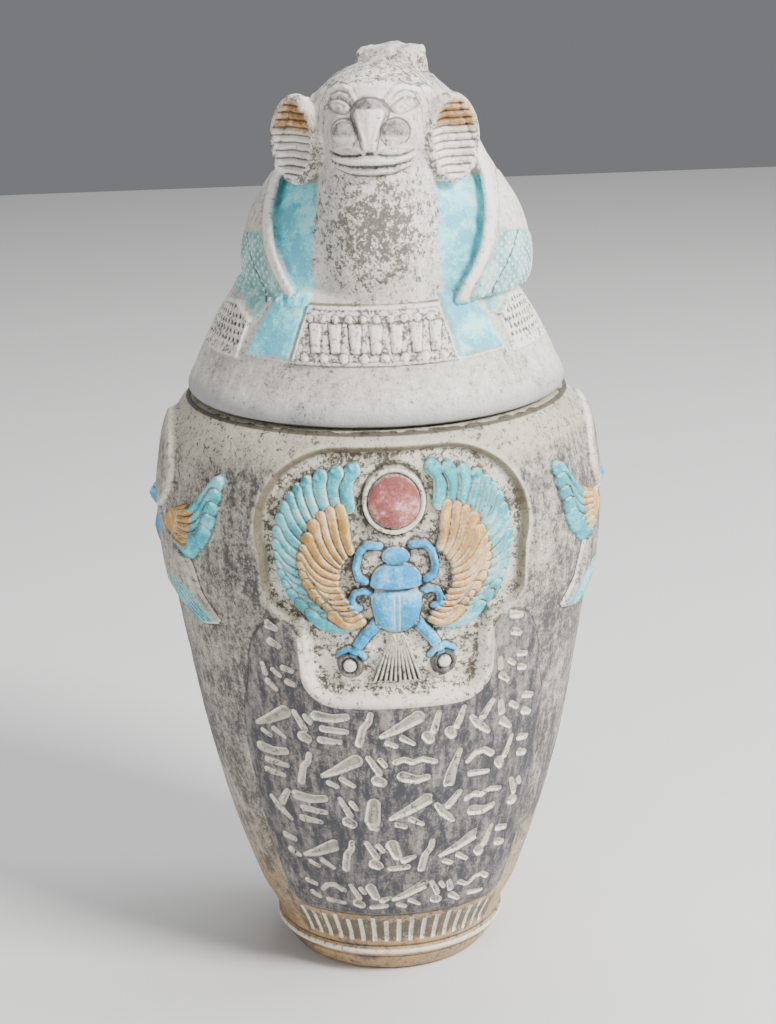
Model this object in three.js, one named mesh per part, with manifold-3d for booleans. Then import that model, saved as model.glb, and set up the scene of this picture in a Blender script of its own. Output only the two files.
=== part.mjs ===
// A carved stone canopic jar with a baboon-headed lid, a modern souvenir in the Egyptian manner.
// Millimetres, +Z up, the front faces -Y, and the origin is the middle of the underside.
// Two separate pieces: the hollow jar, and the lid that sits on it with a plug in its mouth.
// Places on a round wall are [degrees, height]: degrees are 0 at the front, more towards +X.

import * as THREE from 'three';
import { mergeVertices } from 'three/addons/utils/BufferGeometryUtils.js';
import Module from 'manifold-3d';

const wasm = await Module();
wasm.setup();

// ---- Driving dimensions ----

const JAR_HEIGHT = 179;
const LID_GAP = 0.3;
const TOTAL_HEIGHT = 280;
const SEGMENTS = 30;

// [height, radius] stations of the jar's outside, from the edge of the foot to the shoulder.
const JAR_WALL = [
  [0, 28], [1.4, 30.8], [9.5, 35.6], [10.6, 35.3], [24, 40.9], [46, 48.2], [72, 54.8], [100, 59.9],
  [128, 64.2], [147, 65.3], [162, 63.8], [172, 61.2], [178, 57.4], [JAR_HEIGHT, 56],
];
// The hollow inside, from the middle of its floor to the mouth.
const MOUTH_RADIUS = 43.6;
const JAR_HOLLOW = [
  [12, 0], [12, 22], [16, 27], [44, 39], [96, 50.5], [142, 56.5], [162, 54], [173, MOUTH_RADIUS],
  [JAR_HEIGHT + 5, MOUTH_RADIUS],
];

const PANEL_DEPTH = 3.2;
const FIELD_RISE = 1;
const STROKE_DEPTH = 0.9;
const DISC = { z: 160.6, radius: 7.5, ring: 9.2 };
const MM_TO_DEG = 180 / Math.PI / 65;

// The lid: a dome to the waist, then the baboon's mantle, neck and head above it.
const PLUG_RADIUS = 42.6;
const PLUG_DEPTH = 7;
const LID_DOME = [
  [JAR_HEIGHT + LID_GAP, 54.6], [180.8, 56.1], [187.5, 53.9], [195, 50.4], [202, 46.7], [208, 42.8],
  [213, 39], [218, 0],
];
const MANTLE = [
  [210.8, 38.5], [211.2, 40.8], [213.4, 42.2], [219, 42.7], [226, 41.6], [233, 39.3], [239, 36], [247, 30.5],
  [257, 25], [266, 19.5],
];
const MANTLE_RISE = 2.6;
const CARVING_TURN = -9;
const CARVING_SHIFT = 4;
const DRESS_TURN = -4;

// ---- Solids from shapes ----

/** A closed mesh as a solid, with shared corners merged and its faces turned outwards. */
function solidOf(geometry) {
  geometry.deleteAttribute('normal');
  geometry.deleteAttribute('uv');
  const merged = mergeVertices(geometry, 1e-4);
  const points = merged.attributes.position;
  const corner = (i) => new THREE.Vector3().fromBufferAttribute(points, i);
  const triangles = [];
  let volume = 0;
  for (let i = 0; i < merged.index.count; i += 3) {
    const [a, b, c] = [0, 1, 2].map((k) => merged.index.getX(i + k));
    if (a === b || b === c || c === a) continue;
    triangles.push([a, b, c]);
    volume += corner(a).dot(corner(b).cross(corner(c)));
  }
  const outward = volume > 0 ? triangles : triangles.map(([a, b, c]) => [a, c, b]);
  const mesh = new wasm.Mesh({
    numProp: 3,
    vertProperties: Float32Array.from(points.array),
    triVerts: Uint32Array.from(outward.flat()),
  });
  return new wasm.Manifold(mesh);
}

const joined = (solids) => solids.reduce((whole, solid) => whole.add(solid));

/** The radius at a height, straight between the stations of a [height, radius] list. */
function radiusAt(stations, height) {
  const z = THREE.MathUtils.clamp(height, stations[0][0], stations.at(-1)[0]);
  const next = Math.max(1, stations.findIndex(([stationZ]) => stationZ >= z));
  const [z0, r0] = stations[next - 1];
  const [z1, r1] = stations[next];
  return z1 > z0 ? THREE.MathUtils.mapLinear(z, z0, z1, r0, r1) : r1;
}

/** A body of revolution about Z from [height, radius] stations, closed to the axis at both ends. */
function turned(stations, rise = 0, segments = SEGMENTS) {
  const profile = stations.map(([z, r]) => new THREE.Vector2(Math.max(r + (r > 0 ? rise : 0), 0), z));
  if (profile[0].x > 0) profile.unshift(new THREE.Vector2(0, profile[0].y));
  if (profile.at(-1).x > 0) profile.push(new THREE.Vector2(0, profile.at(-1).y));
  return solidOf(new THREE.LatheGeometry(profile, segments).rotateX(Math.PI / 2));
}

/** An outline in [degrees, height], given depth along the radius and bent round the axis. */
function bent(outline, innerRadius, outerRadius) {
  const shape = new THREE.Shape(outline.map(([degrees, z]) => new THREE.Vector2(degrees, z)));
  const geometry = new THREE.ExtrudeGeometry(shape, { depth: 1, bevelEnabled: false });
  const points = geometry.attributes.position;
  for (let i = 0; i < points.count; i += 1) {
    const angle = THREE.MathUtils.degToRad(points.getX(i));
    const z = points.getY(i);
    const radius = points.getZ(i) > 0.5 ? outerRadius(z) : innerRadius(z);
    points.setXYZ(i, radius * Math.sin(angle), -radius * Math.cos(angle), z);
  }
  return solidOf(geometry);
}

/** A plate on the jar's wall, from well below the panel's floor to `rise` above the wall. */
const onJar = (outline, rise) =>
  bent(outline, (z) => radiusAt(JAR_WALL, z) - 6, (z) => radiusAt(JAR_WALL, z) + rise);

/** All that lies behind an outline, from near the axis to far outside the wall. */
const throughWall = (outline) => bent(outline, () => 25, () => 130);

/** A wide plate that follows a turned wall, `rise` above it. */
const onWall = (stations, outline, rise) => turned(stations, rise).intersect(throughWall(outline));

/** An ellipsoid of the given half sizes, built at the front of the axis and turned to its place. */
function boss(degrees, z, radius, [halfWidth, halfDepth, halfHeight], segments = 14) {
  const geometry = new THREE.SphereGeometry(1, segments, Math.round(segments * 0.6));
  geometry.rotateX(Math.PI / 2).scale(halfWidth, halfDepth, halfHeight).translate(0, -radius, z);
  return solidOf(geometry.rotateZ(THREE.MathUtils.degToRad(degrees)));
}

// ---- Outlines ----

/** An arc's points, angles in degrees, from one angle to another. */
function arc([cx, cz], [rx, rz], from, to, steps) {
  return Array.from({ length: steps + 1 }, (_, i) => {
    const angle = THREE.MathUtils.degToRad(from + ((to - from) * i) / steps);
    return [cx + rx * Math.cos(angle), cz + rz * Math.sin(angle)];
  });
}

/** A closed outline from its right half, mirrored to the left. */
const mirrored = (half) => [...half, ...half.toReversed().map(([x, z]) => [-x, z])];

/** Move an outline drawn in millimetres about a place on the wall to [degrees, height]. */
const placed = (outline, [degrees, z]) => outline.map(([x, y]) => [degrees + x * MM_TO_DEG, z + y]);

/** A tapering stroke along a line of points, with the width at each end. */
function stroke(points, startWidth, endWidth) {
  const sides = points.map(([x, z], i) => {
    const [px, pz] = points[Math.max(i - 1, 0)];
    const [nx, nz] = points[Math.min(i + 1, points.length - 1)];
    const length = Math.hypot(nx - px, nz - pz);
    const half = THREE.MathUtils.lerp(startWidth, endWidth, i / (points.length - 1)) / 2;
    const across = [((pz - nz) / length) * half, ((nx - px) / length) * half];
    return [[x + across[0], z + across[1]], [x - across[0], z - across[1]]];
  });
  return [...sides.map(([left]) => left), ...sides.map(([, right]) => right).reverse()];
}

// ---- The jar's front panel ----

const PANEL = mirrored([
  [25, 125], [25, 108], ...arc([16, 108], [9, 8.1], 0, -90, 3).slice(1),
].toReversed().concat([
  [27, 124.5], [32, 126.5], [35.5, 130], ...arc([14, 152], [23, 23.6], -20, 90, 7),
]));

/** The raised field that the inscription is cut in: a lobe stands up on each side of the panel. */
const FIELD = mirrored([
  [44, 24], [49, 29], [50, 60], [49.5, 82], [47.5, 94], [44, 104], [41, 115], [36, 122.5], [31, 124.6],
  [27, 122], [25, 115], [20, 105],
]);

const panelCut = () => throughWall(PANEL).subtract(turned(JAR_WALL, -PANEL_DEPTH));

// ---- The winged scarab ----

// Feathers fan out from a point below the scarab. Each band of them lies between two circles, and
// `reach` is how far a line from that point goes before it leaves a circle.
const FAN = [0, 122.5];
const WING_EDGE = { centre: [9.5, 146.5], radius: 25 };
const GOLD_EDGE = { centre: [7, 144.2], radius: 20.5 };
const INNER_EDGE = { centre: [4, 138.5], radius: 12.5 };
const INNER_X = 12;

function reach(degrees, { centre, radius }) {
  const angle = THREE.MathUtils.degToRad(degrees);
  const [x, z] = [centre[0] - FAN[0], centre[1] - FAN[1]];
  const along = x * Math.cos(angle) + z * Math.sin(angle);
  return along + Math.sqrt(Math.max(along ** 2 - x ** 2 - z ** 2 + radius ** 2, 0));
}

const OUTER_FEATHERS = {
  centre: FAN, count: 12, from: 3, to: 82, ridge: -1, valley: -2.2, notch: 1.2,
  root: (degrees) => reach(degrees, GOLD_EDGE) - 0.5,
  tip: (degrees) => reach(degrees, WING_EDGE),
};
const GOLD_FEATHERS = {
  centre: FAN, count: 8, from: 11, to: 71, ridge: -0.8, valley: -2, notch: 1,
  root: (degrees) =>
    Math.max(reach(degrees, INNER_EDGE), INNER_X / Math.cos(THREE.MathUtils.degToRad(degrees))),
  tip: (degrees) => reach(degrees, GOLD_EDGE),
};
const TAIL_FEATHERS = {
  centre: [0, 126], count: 5, from: -112, to: -68, ridge: -1.2, valley: -2.2, notch: 0.4,
  root: () => 4.5,
  tip: (degrees) => 19.6 / Math.cos(THREE.MathUtils.degToRad(degrees + 90)),
};

/**
 * A fan of feathers as one closed strip: each feather is a ridge between two valleys, from its
 * root to a tip that stands past the notch beside it. It starts under the surface that carries it.
 */
function fan({ centre, count, from, to, ridge, valley, notch, root, tip }, middle = 0, side = 1) {
  const points = [];
  for (let i = 0; i <= 2 * count; i += 1) {
    const degrees = THREE.MathUtils.mapLinear(i, 0, 2 * count, from, to);
    const angle = THREE.MathUtils.degToRad(degrees);
    const [rise, end] = i % 2 ? [ridge, tip(degrees)] : [valley, tip(degrees) - notch];
    for (const [distance, height] of [[root(degrees), -6], [root(degrees), rise], [end, rise], [end, -6]]) {
      const x = centre[0] + distance * Math.cos(angle);
      const z = centre[1] + distance * Math.sin(angle);
      const turn = THREE.MathUtils.degToRad(middle + side * x * MM_TO_DEG);
      const radius = radiusAt(JAR_WALL, z) + height;
      points.push(new THREE.Vector3(radius * Math.sin(turn), -radius * Math.cos(turn), z));
    }
  }
  const index = [0, 1, 2, 0, 2, 3];
  for (let i = 0; i < 2 * count; i += 1) {
    for (let k = 0; k < 4; k += 1) {
      const [a, b] = [4 * i + k, 4 * i + ((k + 1) % 4)];
      index.push(a, a + 4, b, b, a + 4, b + 4);
    }
  }
  const last = 8 * count;
  index.push(last, last + 2, last + 1, last, last + 3, last + 2);
  const geometry = new THREE.BufferGeometry().setFromPoints(points);
  geometry.setIndex(index);
  return solidOf(geometry);
}

const SCARAB_LEGS = [
  [[4.6, 148.8], [11.6, 145], [8, 137.4]],
  [[7, 131.4], [12.4, 133.4]],
  [[5.4, 125.4], [13.6, 114.4]],
];
const SHEN_RING = { x: 14.8, z: 111.3, radius: 3.7 };

/** The scarab in the middle: three rounded body parts, six legs, two shen rings and a tail fan. */
function scarab() {
  const under = (z) => radiusAt(JAR_WALL, z) - PANEL_DEPTH - 1.6;
  const parts = [
    boss(0, 128.8, under(128.8), [7.7, 5.2, 8.4], 10),
    boss(0, 138.6, under(138.6), [7, 4.8, 5], 10),
    boss(0, 145.6, under(145.6), [3.9, 4.2, 2.8], 7),
    fan(TAIL_FEATHERS),
  ];
  for (const side of [-1, 1]) {
    const flip = (outline) => outline.map(([x, z]) => [side * x, z]);
    for (const leg of SCARAB_LEGS) {
      parts.push(onJar(placed(flip(stroke(leg, 2.5, 1.8)), [0, 0]), -1));
    }
    const { x, z, radius } = SHEN_RING;
    parts.push(onJar(placed(flip(arc([x, z], [radius, radius], 0, 308, 6)), [0, 0]), -1.2));
  }
  return joined(parts);
}

const wings = () =>
  joined([-1, 1].flatMap((side) => [fan(OUTER_FEATHERS, 0, side), fan(GOLD_FEATHERS, 0, side)]));

function sunDisc() {
  const circle = (radius) => placed(arc([0, 0], [radius, radius], 0, 330, 11), [0, DISC.z]);
  const ring = onJar(circle(DISC.ring), -1.3);
  const hollow = bent(circle(DISC.radius + 0.5), (z) => radiusAt(JAR_WALL, z) - 2.2, () => 90);
  const dome = boss(0, DISC.z, radiusAt(JAR_WALL, DISC.z) - 4.2, [DISC.radius, 4.3, DISC.radius], 11);
  return ring.subtract(hollow).add(dome);
}

// ---- The inscription and the flutes ----

// Shallow marks that stand for writing and spell nothing, in millimetres about their own middle.
// Each mark is one stroke: [points, start width, end width].
const MARKS = [
  [[[0, 4.8], [0, -4.6]], 1, 2.7],
  [[[-4.2, 0.6], [4, -0.6]], 3, 1.2],
  [[[-1.2, -4.8], [-1.2, 3.4], [1.8, 3]], 1.4, 1.1],
  [[[-4.2, -3.6], [3.6, 4.2]], 1.1, 3.2],
  [[[-0.4, 4.8], [1, -4.6]], 2.4, 0.9],
];
// The middle of each row, half its angle, and how many marks stand in it.
const ROWS = [
  { z: 91.4, reach: 40, count: 5 }, { z: 77.3, reach: 41, count: 5 }, { z: 62.7, reach: 41, count: 4 },
  { z: 47, reach: 38, count: 4 }, { z: 31.6, reach: 33, count: 3 },
];
const LOBE_MARKS = [[33, 116.5]];

function inscription() {
  const places = [];
  for (const { z, reach: half, count } of ROWS) {
    for (let i = 0; i < count; i += 1) places.push([-half + (2 * half * i) / (count - 1), z]);
  }
  for (const [degrees, z] of LOBE_MARKS) places.push([-degrees, z], [degrees, z]);
  const cutters = places.map(([degrees, z], i) => {
    const [points, start, end] = MARKS[(2 * i) % MARKS.length];
    const squeeze = 65 / radiusAt(JAR_WALL, z);
    const outline = placed(stroke(points, start, end), [0, z]);
    return bent(
      outline.map(([x, height]) => [degrees + x * squeeze, height]),
      (height) => radiusAt(JAR_WALL, height) + FIELD_RISE - STROKE_DEPTH,
      (height) => radiusAt(JAR_WALL, height) + 4,
    );
  });
  return joined(cutters);
}

/** Short upright flutes under the inscription, at the front only. */
function flutes() {
  const count = 6;
  const cutters = Array.from({ length: count }, (_, i) => {
    const degrees = THREE.MathUtils.mapLinear(i, 0, count - 1, -46, 46);
    const outline = [[degrees - 1, 13], [degrees + 1, 13], [degrees + 1, 21.5], [degrees - 1, 21.5]];
    return bent(outline, (z) => radiusAt(JAR_WALL, z) - 0.8, (z) => radiusAt(JAR_WALL, z) + 3);
  });
  return joined(cutters);
}

// ---- The falcon on each side of the jar ----

// Outlines are [degrees forward of the figure's middle, height], and every one is mirrored.
const FALCON_BODY = [
  [6, 151], [11, 144], [24, 141.5], [31, 126.5], [38.5, 120.4], [30, 116.8], [15, 121.5],
];
const FALCON_SHOULDER = [[12, 143.5], [28, 153.4], [23, 141.2]];
const FALCON_WING = {
  centre: [20, 141], count: 5, from: -8, to: 42, ridge: 1.8, valley: 0.7, notch: 1,
  root: (degrees) => 5 + 0.28 * degrees,
  tip: (degrees) => 13 + 0.6 * degrees,
};

function falcon(middle) {
  const around = (outline) => outline.map(([degrees, z]) => [middle + degrees, z]);
  const disc = arc([0, 160], [20, 15], 0, 315, 7);
  const parts = [
    onWall(JAR_WALL, around(disc), 2.2),
    onWall(JAR_WALL, around(mirrored(FALCON_BODY)), 1.8),
    boss(middle, 148.5, 65.6, [3.4, 3.6, 3.4], 8),
    boss(middle, 138, 63.6, [9, 4, 10], 8),
  ];
  for (const side of [-1, 1]) {
    const flip = (outline) => around(outline.map(([degrees, z]) => [side * degrees, z]));
    parts.push(onJar(flip(FALCON_SHOULDER), 2.1));
    parts.push(fan(FALCON_WING, middle, side));
  }
  return joined(parts);
}

// ---- The jar ----

function jarGeometry() {
  const body = turned(JAR_WALL).add(onWall(JAR_WALL, FIELD, FIELD_RISE));
  const carved = body.subtract(panelCut()).subtract(inscription()).subtract(flutes());
  const dressed = joined([carved, wings(), scarab(), sunDisc(), falcon(-90), falcon(90)]);
  return geometryOf(dressed.subtract(turned(JAR_HOLLOW, 0, 18)));
}

// ---- The baboon on the lid ----

/** An ellipsoid anywhere, by its middle and half sizes, tipped back by some degrees about X. */
function ellipsoid([x, y, z], [rx, ry, rz], tip = 0, segments = 20) {
  const geometry = new THREE.SphereGeometry(1, segments, Math.round(segments * 0.6));
  geometry.rotateX(Math.PI / 2).scale(rx, ry, rz).rotateX(THREE.MathUtils.degToRad(tip));
  return solidOf(geometry.translate(x, y, z));
}

/** A front-view outline [x, z] given depth along Y. */
function prism(outline, yFront, yBack) {
  const shape = new THREE.Shape(outline.map(([x, z]) => new THREE.Vector2(x, z)));
  const geometry = new THREE.ExtrudeGeometry(shape, { depth: yBack - yFront, bevelEnabled: false });
  return solidOf(geometry.rotateX(Math.PI / 2).translate(0, yBack, 0));
}

/** The mantle: a swelling cape of hair round the back and sides, open in a V at the front. */
function mantle() {
  const opening = mirrored([
    [22.5, 209], [23, 213], [26.5, 219], [29.5, 226], [30.5, 234], [29, 243], [25, 252], [21, 262],
  ]);
  const cape = turned(MANTLE, 0, 21).subtract(prism(opening, -60, -9));
  return cape.add(turned(MANTLE.filter((_, i) => i % 2), -MANTLE_RISE, 14));
}

/** The neck and chest: a column of oval section that spreads towards the collar. */
function neck() {
  const stations = [[203, 1.06], [214, 1], [230, 0.95], [252, 0.93]];
  const profile = stations.map(([z, scale]) => [z, 19 * scale]);
  const column = turned(profile, 0, 14);
  return column.scale([1, 1.36, 1]).translate([0, -16.4, 0]);
}

/** One ear: an upright oval cup that faces forwards and a little outwards, ridged across. */
function ear(side) {
  const [width, height, depth] = [8.6, 12.6, 5];
  const cup = ellipsoid([0, 0, 0], [width, depth, height], 0, 9);
  const hollow = ellipsoid([0, -depth * 0.8, 0], [width - 1.6, depth * 0.8, height - 1.6], 0, 9);
  const ridges = Array.from({ length: 3 }, (_, i) => {
    const z = THREE.MathUtils.mapLinear(i, 0, 2, -6.5, 6.5);
    const half = (width - 2) * Math.sqrt(1 - (z / height) ** 2);
    const bar = new THREE.BoxGeometry(2 * half, 2.2, 1);
    return solidOf(bar.translate(0, -1.1, z));
  });
  const flatFront = solidOf(new THREE.BoxGeometry(40, 10, 40).translate(0, -5 - depth * 0.35, 0));
  const whole = cup.subtract(flatFront).subtract(hollow).add(joined(ridges).intersect(cup));
  return whole.rotate([0, 0, side * 33]).translate([side * 22 - 0.6, -19, 256]);
}

/** Skull, muzzle, nose, brows, eyes and a wide mouth; the face looks a little upwards. */
function head() {
  const skull = ellipsoid([0, -11, 257], [21.5, 27.5, 18], 0, 12);
  const muzzle = ellipsoid([0, -30.5, 258.4], [13, 15, 11.2], 0, 11);
  const nose = ellipsoid([0, -40, 261.5], [4.6, 5.6, 9.5], 16, 8);
  const mouth = prism(stroke([[-11.6, 253.6], [-6, 252], [6, 252], [11.6, 253.6]], 1.4, 1.4), -60, -41);
  const parts = [skull, muzzle.subtract(mouth), nose];
  for (const side of [-1, 1]) {
    parts.push(ellipsoid([side * 7.4, -37, 259], [5.4, 6.4, 5], 0, 7));
    parts.push(ellipsoid([side * 10, -29.5, 266], [3.6, 4.4, 1.9], 0, 6));
    const brow = stroke([[side * 5.4, 269], [side * 9.6, 271], [side * 14.6, 267.6]], 1.2, 1.2);
    parts.push(prism(brow, -31.4, -15));
  }
  return joined(parts);
}

/** The rough stub on the crown, where something has broken off. */
function stub() {
  const sides = 8;
  const layer = (scale, z) => Array.from({ length: sides }, (_, i) => {
    const angle = (i / sides) * 2 * Math.PI;
    const radius = scale * (10.6 + 0.9 * Math.sin(i * 2.4));
    const [x, y] = [radius * Math.cos(angle), radius * 0.8 * Math.sin(angle)];
    return new THREE.Vector3(x, y, z + 0.5 * Math.cos(i * 1.7));
  });
  const rings = [layer(0.96, 266), layer(1.02, 276), layer(0.86, 279.5)];
  const points = [new THREE.Vector3(0, 0, 266), ...rings.flat(), new THREE.Vector3(0, 0, TOTAL_HEIGHT)];
  const last = points.length - 1;
  const index = [];
  for (let i = 0; i < sides; i += 1) {
    const next = (i + 1) % sides;
    index.push(0, 1 + next, 1 + i);
    for (const row of [1, 1 + sides]) {
      index.push(row + i, row + next, row + sides + next, row + i, row + sides + next, row + sides + i);
    }
    index.push(1 + 2 * sides + i, 1 + 2 * sides + next, last);
  }
  const geometry = new THREE.BufferGeometry().setFromPoints(points);
  geometry.setIndex(index);
  return solidOf(geometry.translate(2.6, 3, 0));
}

// ---- The dress carved on the dome: collar, lappets and side panels ----

const COLLAR_TOP = 211.4;
const COLLAR_FOOT = 196.6;

function dress() {
  const plates = [
    onWall(LID_DOME, mirrored([[28, COLLAR_FOOT], [26.5, COLLAR_TOP]]), 1),
    onWall(LID_DOME, mirrored([[28, COLLAR_FOOT], [27.6, 198.2]]), 1.9),
  ];
  const dome = (z) => radiusAt(LID_DOME, z);
  const petals = 6;
  for (let i = 0; i < petals; i += 1) {
    const degrees = THREE.MathUtils.mapLinear(i, 0, petals - 1, -22, 22);
    const petal = [[-1.6, 199.4], [1.6, 199.4], [1.9, 208.4], [-1.9, 208.4]].map(([x, z]) => [degrees + x, z]);
    plates.push(bent(petal, (z) => dome(z) - 3, (z) => dome(z) + 1.9));
  }
  for (const side of [-1, 1]) {
    const flip = (outline) => outline.map(([degrees, z]) => [side * degrees, z]);
    const lappet = [[28.6, 197], [47.5, 197.4], [46, 205], [42, 213], [29, 213]];
    const panel = [[51, 195.4], [80, 195.4], [80, 208.6], [66, 209.6], [52, 205.6]];
    plates.push(onWall(LID_DOME, flip(lappet), 1.1), onWall(LID_DOME, flip(panel), 0.8));
  }
  return joined(plates).rotate([0, 0, DRESS_TURN]);
}

function lidGeometry() {
  const plug = turned([
    [JAR_HEIGHT - PLUG_DEPTH, PLUG_RADIUS - 0.8], [JAR_HEIGHT - PLUG_DEPTH + 0.8, PLUG_RADIUS],
    [JAR_HEIGHT + 1, PLUG_RADIUS],
  ], 0, 24);
  const baboon = joined([mantle(), neck(), head(), ear(-1), ear(1), stub()]);
  const carving = baboon.rotate([0, 0, CARVING_TURN]).translate([CARVING_SHIFT, 0, 0]);
  return geometryOf(joined([turned(LID_DOME), plug, dress(), carving]));
}

// ---- Meshes ----

function geometryOf(solid) {
  const { vertProperties, triVerts } = solid.getMesh();
  const geometry = new THREE.BufferGeometry();
  geometry.setAttribute('position', new THREE.BufferAttribute(vertProperties, 3));
  geometry.setIndex(new THREE.BufferAttribute(triVerts, 1));
  return geometry;
}

/** One carved piece with its own stone finish. */
function piece(name, geometry, color, roughness) {
  const material = new THREE.MeshStandardMaterial({ color, roughness, metalness: 0 });
  const mesh = new THREE.Mesh(geometry, material);
  mesh.name = name;
  return mesh;
}

const group = new THREE.Group();
group.add(piece('jar', jarGeometry(), 0x75706a, 0.8));
group.add(piece('lid', lidGeometry(), 0x968d7e, 0.8));

export default group;
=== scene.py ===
"""A carved stone canopic jar with a baboon-headed lid, dressed for the camera.

The jar and the lid each replace their plain solid with one closed, finely carved mesh. Shapes are
worked out in millimetres by numpy on whole arrays, and become metres when a mesh is made. The jar's
relief is drawn on its wall laid flat: x is the arc in millimetres from the front at the radius
ARC_RADIUS, and z is the height.
"""

import logging
import math
from dataclasses import dataclass, field
from enum import Enum
from typing import Callable, Sequence, Union

import bpy
import numpy as np
from mathutils import Matrix, Vector


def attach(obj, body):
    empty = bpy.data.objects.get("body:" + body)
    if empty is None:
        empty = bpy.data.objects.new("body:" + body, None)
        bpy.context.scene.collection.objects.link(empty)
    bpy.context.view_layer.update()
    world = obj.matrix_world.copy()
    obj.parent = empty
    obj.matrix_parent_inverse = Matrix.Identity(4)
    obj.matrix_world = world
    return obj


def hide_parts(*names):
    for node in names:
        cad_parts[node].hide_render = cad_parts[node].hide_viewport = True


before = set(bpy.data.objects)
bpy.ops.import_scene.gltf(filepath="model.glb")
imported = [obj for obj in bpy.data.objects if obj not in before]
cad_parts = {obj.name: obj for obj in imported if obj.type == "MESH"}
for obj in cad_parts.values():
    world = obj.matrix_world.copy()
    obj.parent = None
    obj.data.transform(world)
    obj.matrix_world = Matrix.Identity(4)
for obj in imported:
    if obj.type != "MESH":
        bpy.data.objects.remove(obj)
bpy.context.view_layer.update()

Array = np.ndarray
Point = tuple[float, float]
Colour = tuple[float, float, float]

MM = 0.001
ARC_RADIUS = 65.0
JOINT_HEIGHT = 179.0
LOG = logging.getLogger("canopic_jar")


class Mark(Enum):
    """What a point of the surface carries, as a mesh attribute of that name."""

    BLUE = "blue_paint"
    TEAL = "teal_paint"
    GOLD = "gold_paint"
    RED = "red_paint"
    # The dark slate field, and painted shade on the upper half of the lid's cheeks.
    SLATE = "slate_and_cheek_shade"
    # Cream dust, and on the panel's lower rim a painted highlight.
    CREAM = "cream_dust_and_lit_rim"
    FLOOR = "panel_floor"
    # Pale lines on the carving; along the feathers' upper edges they are a painted highlight.
    CREST = "crest_line"
    # Dark stains, and on the neck a painted shadow under the chin.
    SMOKE = "stain_and_chin_shade"
    # Painted shade: dark lines in grooves, round raised edges and in the gap between lid and jar.
    SEAM = "painted_shade_line"
    CUT = "cut_stroke"
    HOLLOW = "hollow_depth"


# ---- Sums on whole arrays ----


def smooth(low: float, high: float, value: Array) -> Array:
    """A soft step: 0 below low, 1 above high, and 3t^2 - 2t^3 between them.

    Args:
        low: Where the step starts.
        high: Where the step ends.
        value: The numbers to be stepped.

    Returns:
        The step of each number, from 0 to 1.
    """
    part = np.clip((value - low) / (high - low), 0.0, 1.0)
    return part * part * (3.0 - 2.0 * part)


def through(stations: Sequence[Point], height: Array) -> Array:
    """A smooth radius through [height, radius] stations, by cubic Hermite pieces.

    Each station's slope is the mean of the two slopes beside it, or 0 where those turn, so that the
    curve never swings past a station.

    Args:
        stations: Heights and radii, from the lowest up.
        height: The heights where the radius is wanted.

    Returns:
        The radius at each height.
    """
    z, r = np.array(stations, float).T
    slope = np.diff(r) / np.diff(z)
    inner = np.where(slope[:-1] * slope[1:] > 0, (slope[:-1] + slope[1:]) / 2, 0.0)
    tangent = np.concatenate(([slope[0]], inner, [slope[-1]]))
    limit = 3 * np.minimum(np.abs(np.r_[slope[0], slope]), np.abs(np.r_[slope, slope[-1]]))
    tangent = np.clip(tangent, -limit, limit)
    height = np.clip(height, z[0], z[-1])
    i = np.clip(np.searchsorted(z, height, side="right") - 1, 0, len(z) - 2)
    span = z[i + 1] - z[i]
    t = (height - z[i]) / span
    rise = t * t * (3 - 2 * t)
    return (
        r[i] * (1 - rise) + r[i + 1] * rise
        + span * (t * (1 - t) ** 2 * tangent[i] - t * t * (1 - t) * tangent[i + 1])
    )


def lattice_noise(x: Array, y: Array, z: Array, seed: int = 0) -> Array:
    """Smooth noise: a random number at each corner of a unit lattice, blended between corners.

    Args:
        x: First coordinate, in lattice cells.
        y: Second coordinate.
        z: Third coordinate.
        seed: Which of many noises.

    Returns:
        Noise from -1 to 1.
    """
    total = np.zeros_like(x)
    cell = [np.floor(value).astype(np.int64) for value in (x, y, z)]
    part = [value - corner for value, corner in zip((x, y, z), cell)]
    weight = [value * value * (3 - 2 * value) for value in part]
    for corner in range(8):
        step = [(corner >> axis) & 1 for axis in range(3)]
        a, b, c = (cell[axis] + step[axis] for axis in range(3))
        code = (a * 73856093) ^ (b * 19349663) ^ (c * 83492791) ^ (seed * 2654435761)
        code = (code ^ (code >> 13)) * 1274126177
        value = ((code ^ (code >> 16)) & 0xFFFF) / 32767.5 - 1.0
        share = np.ones_like(x)
        for axis in range(3):
            share = share * (weight[axis] if step[axis] else 1 - weight[axis])
        total += share * value
    return total


def rough(points: Array, size: float, octaves: int = 3, seed: int = 0) -> Array:
    """Several noises on one another, each half as large and half as strong as the last.

    Args:
        points: Places in millimetres, one row of three each.
        size: The largest lumps' size in millimetres.
        octaves: How many noises.
        seed: Which of many noises.

    Returns:
        Noise from about -1 to 1.
    """
    total = np.zeros(len(points))
    for octave in range(octaves):
        x, y, z = points.T * (2**octave / size)
        total += lattice_noise(x, y, z, seed + octave) / 2**octave
    return total / (2 - 2 ** (1 - octaves))


def inside(x: Array, z: Array, outline: Sequence[Point]) -> Array:
    """The distance to a closed outline: positive inside it, negative outside.

    The distance is to the nearest side, and a point is inside where a level line from it crosses
    an odd number of sides.

    Args:
        x: First coordinate of the points.
        z: Second coordinate of the points.
        outline: The corners in order.

    Returns:
        The signed distance of each point.
    """
    near = np.full_like(x, np.inf)
    odd = np.zeros(x.shape, bool)
    corners = list(outline)
    for (ax, az), (bx, bz) in zip(corners, corners[1:] + corners[:1]):
        dx, dz = bx - ax, bz - az
        part = np.clip(((x - ax) * dx + (z - az) * dz) / (dx * dx + dz * dz), 0, 1)
        near = np.minimum(near, (x - ax - part * dx) ** 2 + (z - az - part * dz) ** 2)
        if dz:
            odd ^= ((az > z) != (bz > z)) & (x < ax + (z - az) * dx / dz)
    return np.where(odd, 1, -1) * np.sqrt(near)


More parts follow.
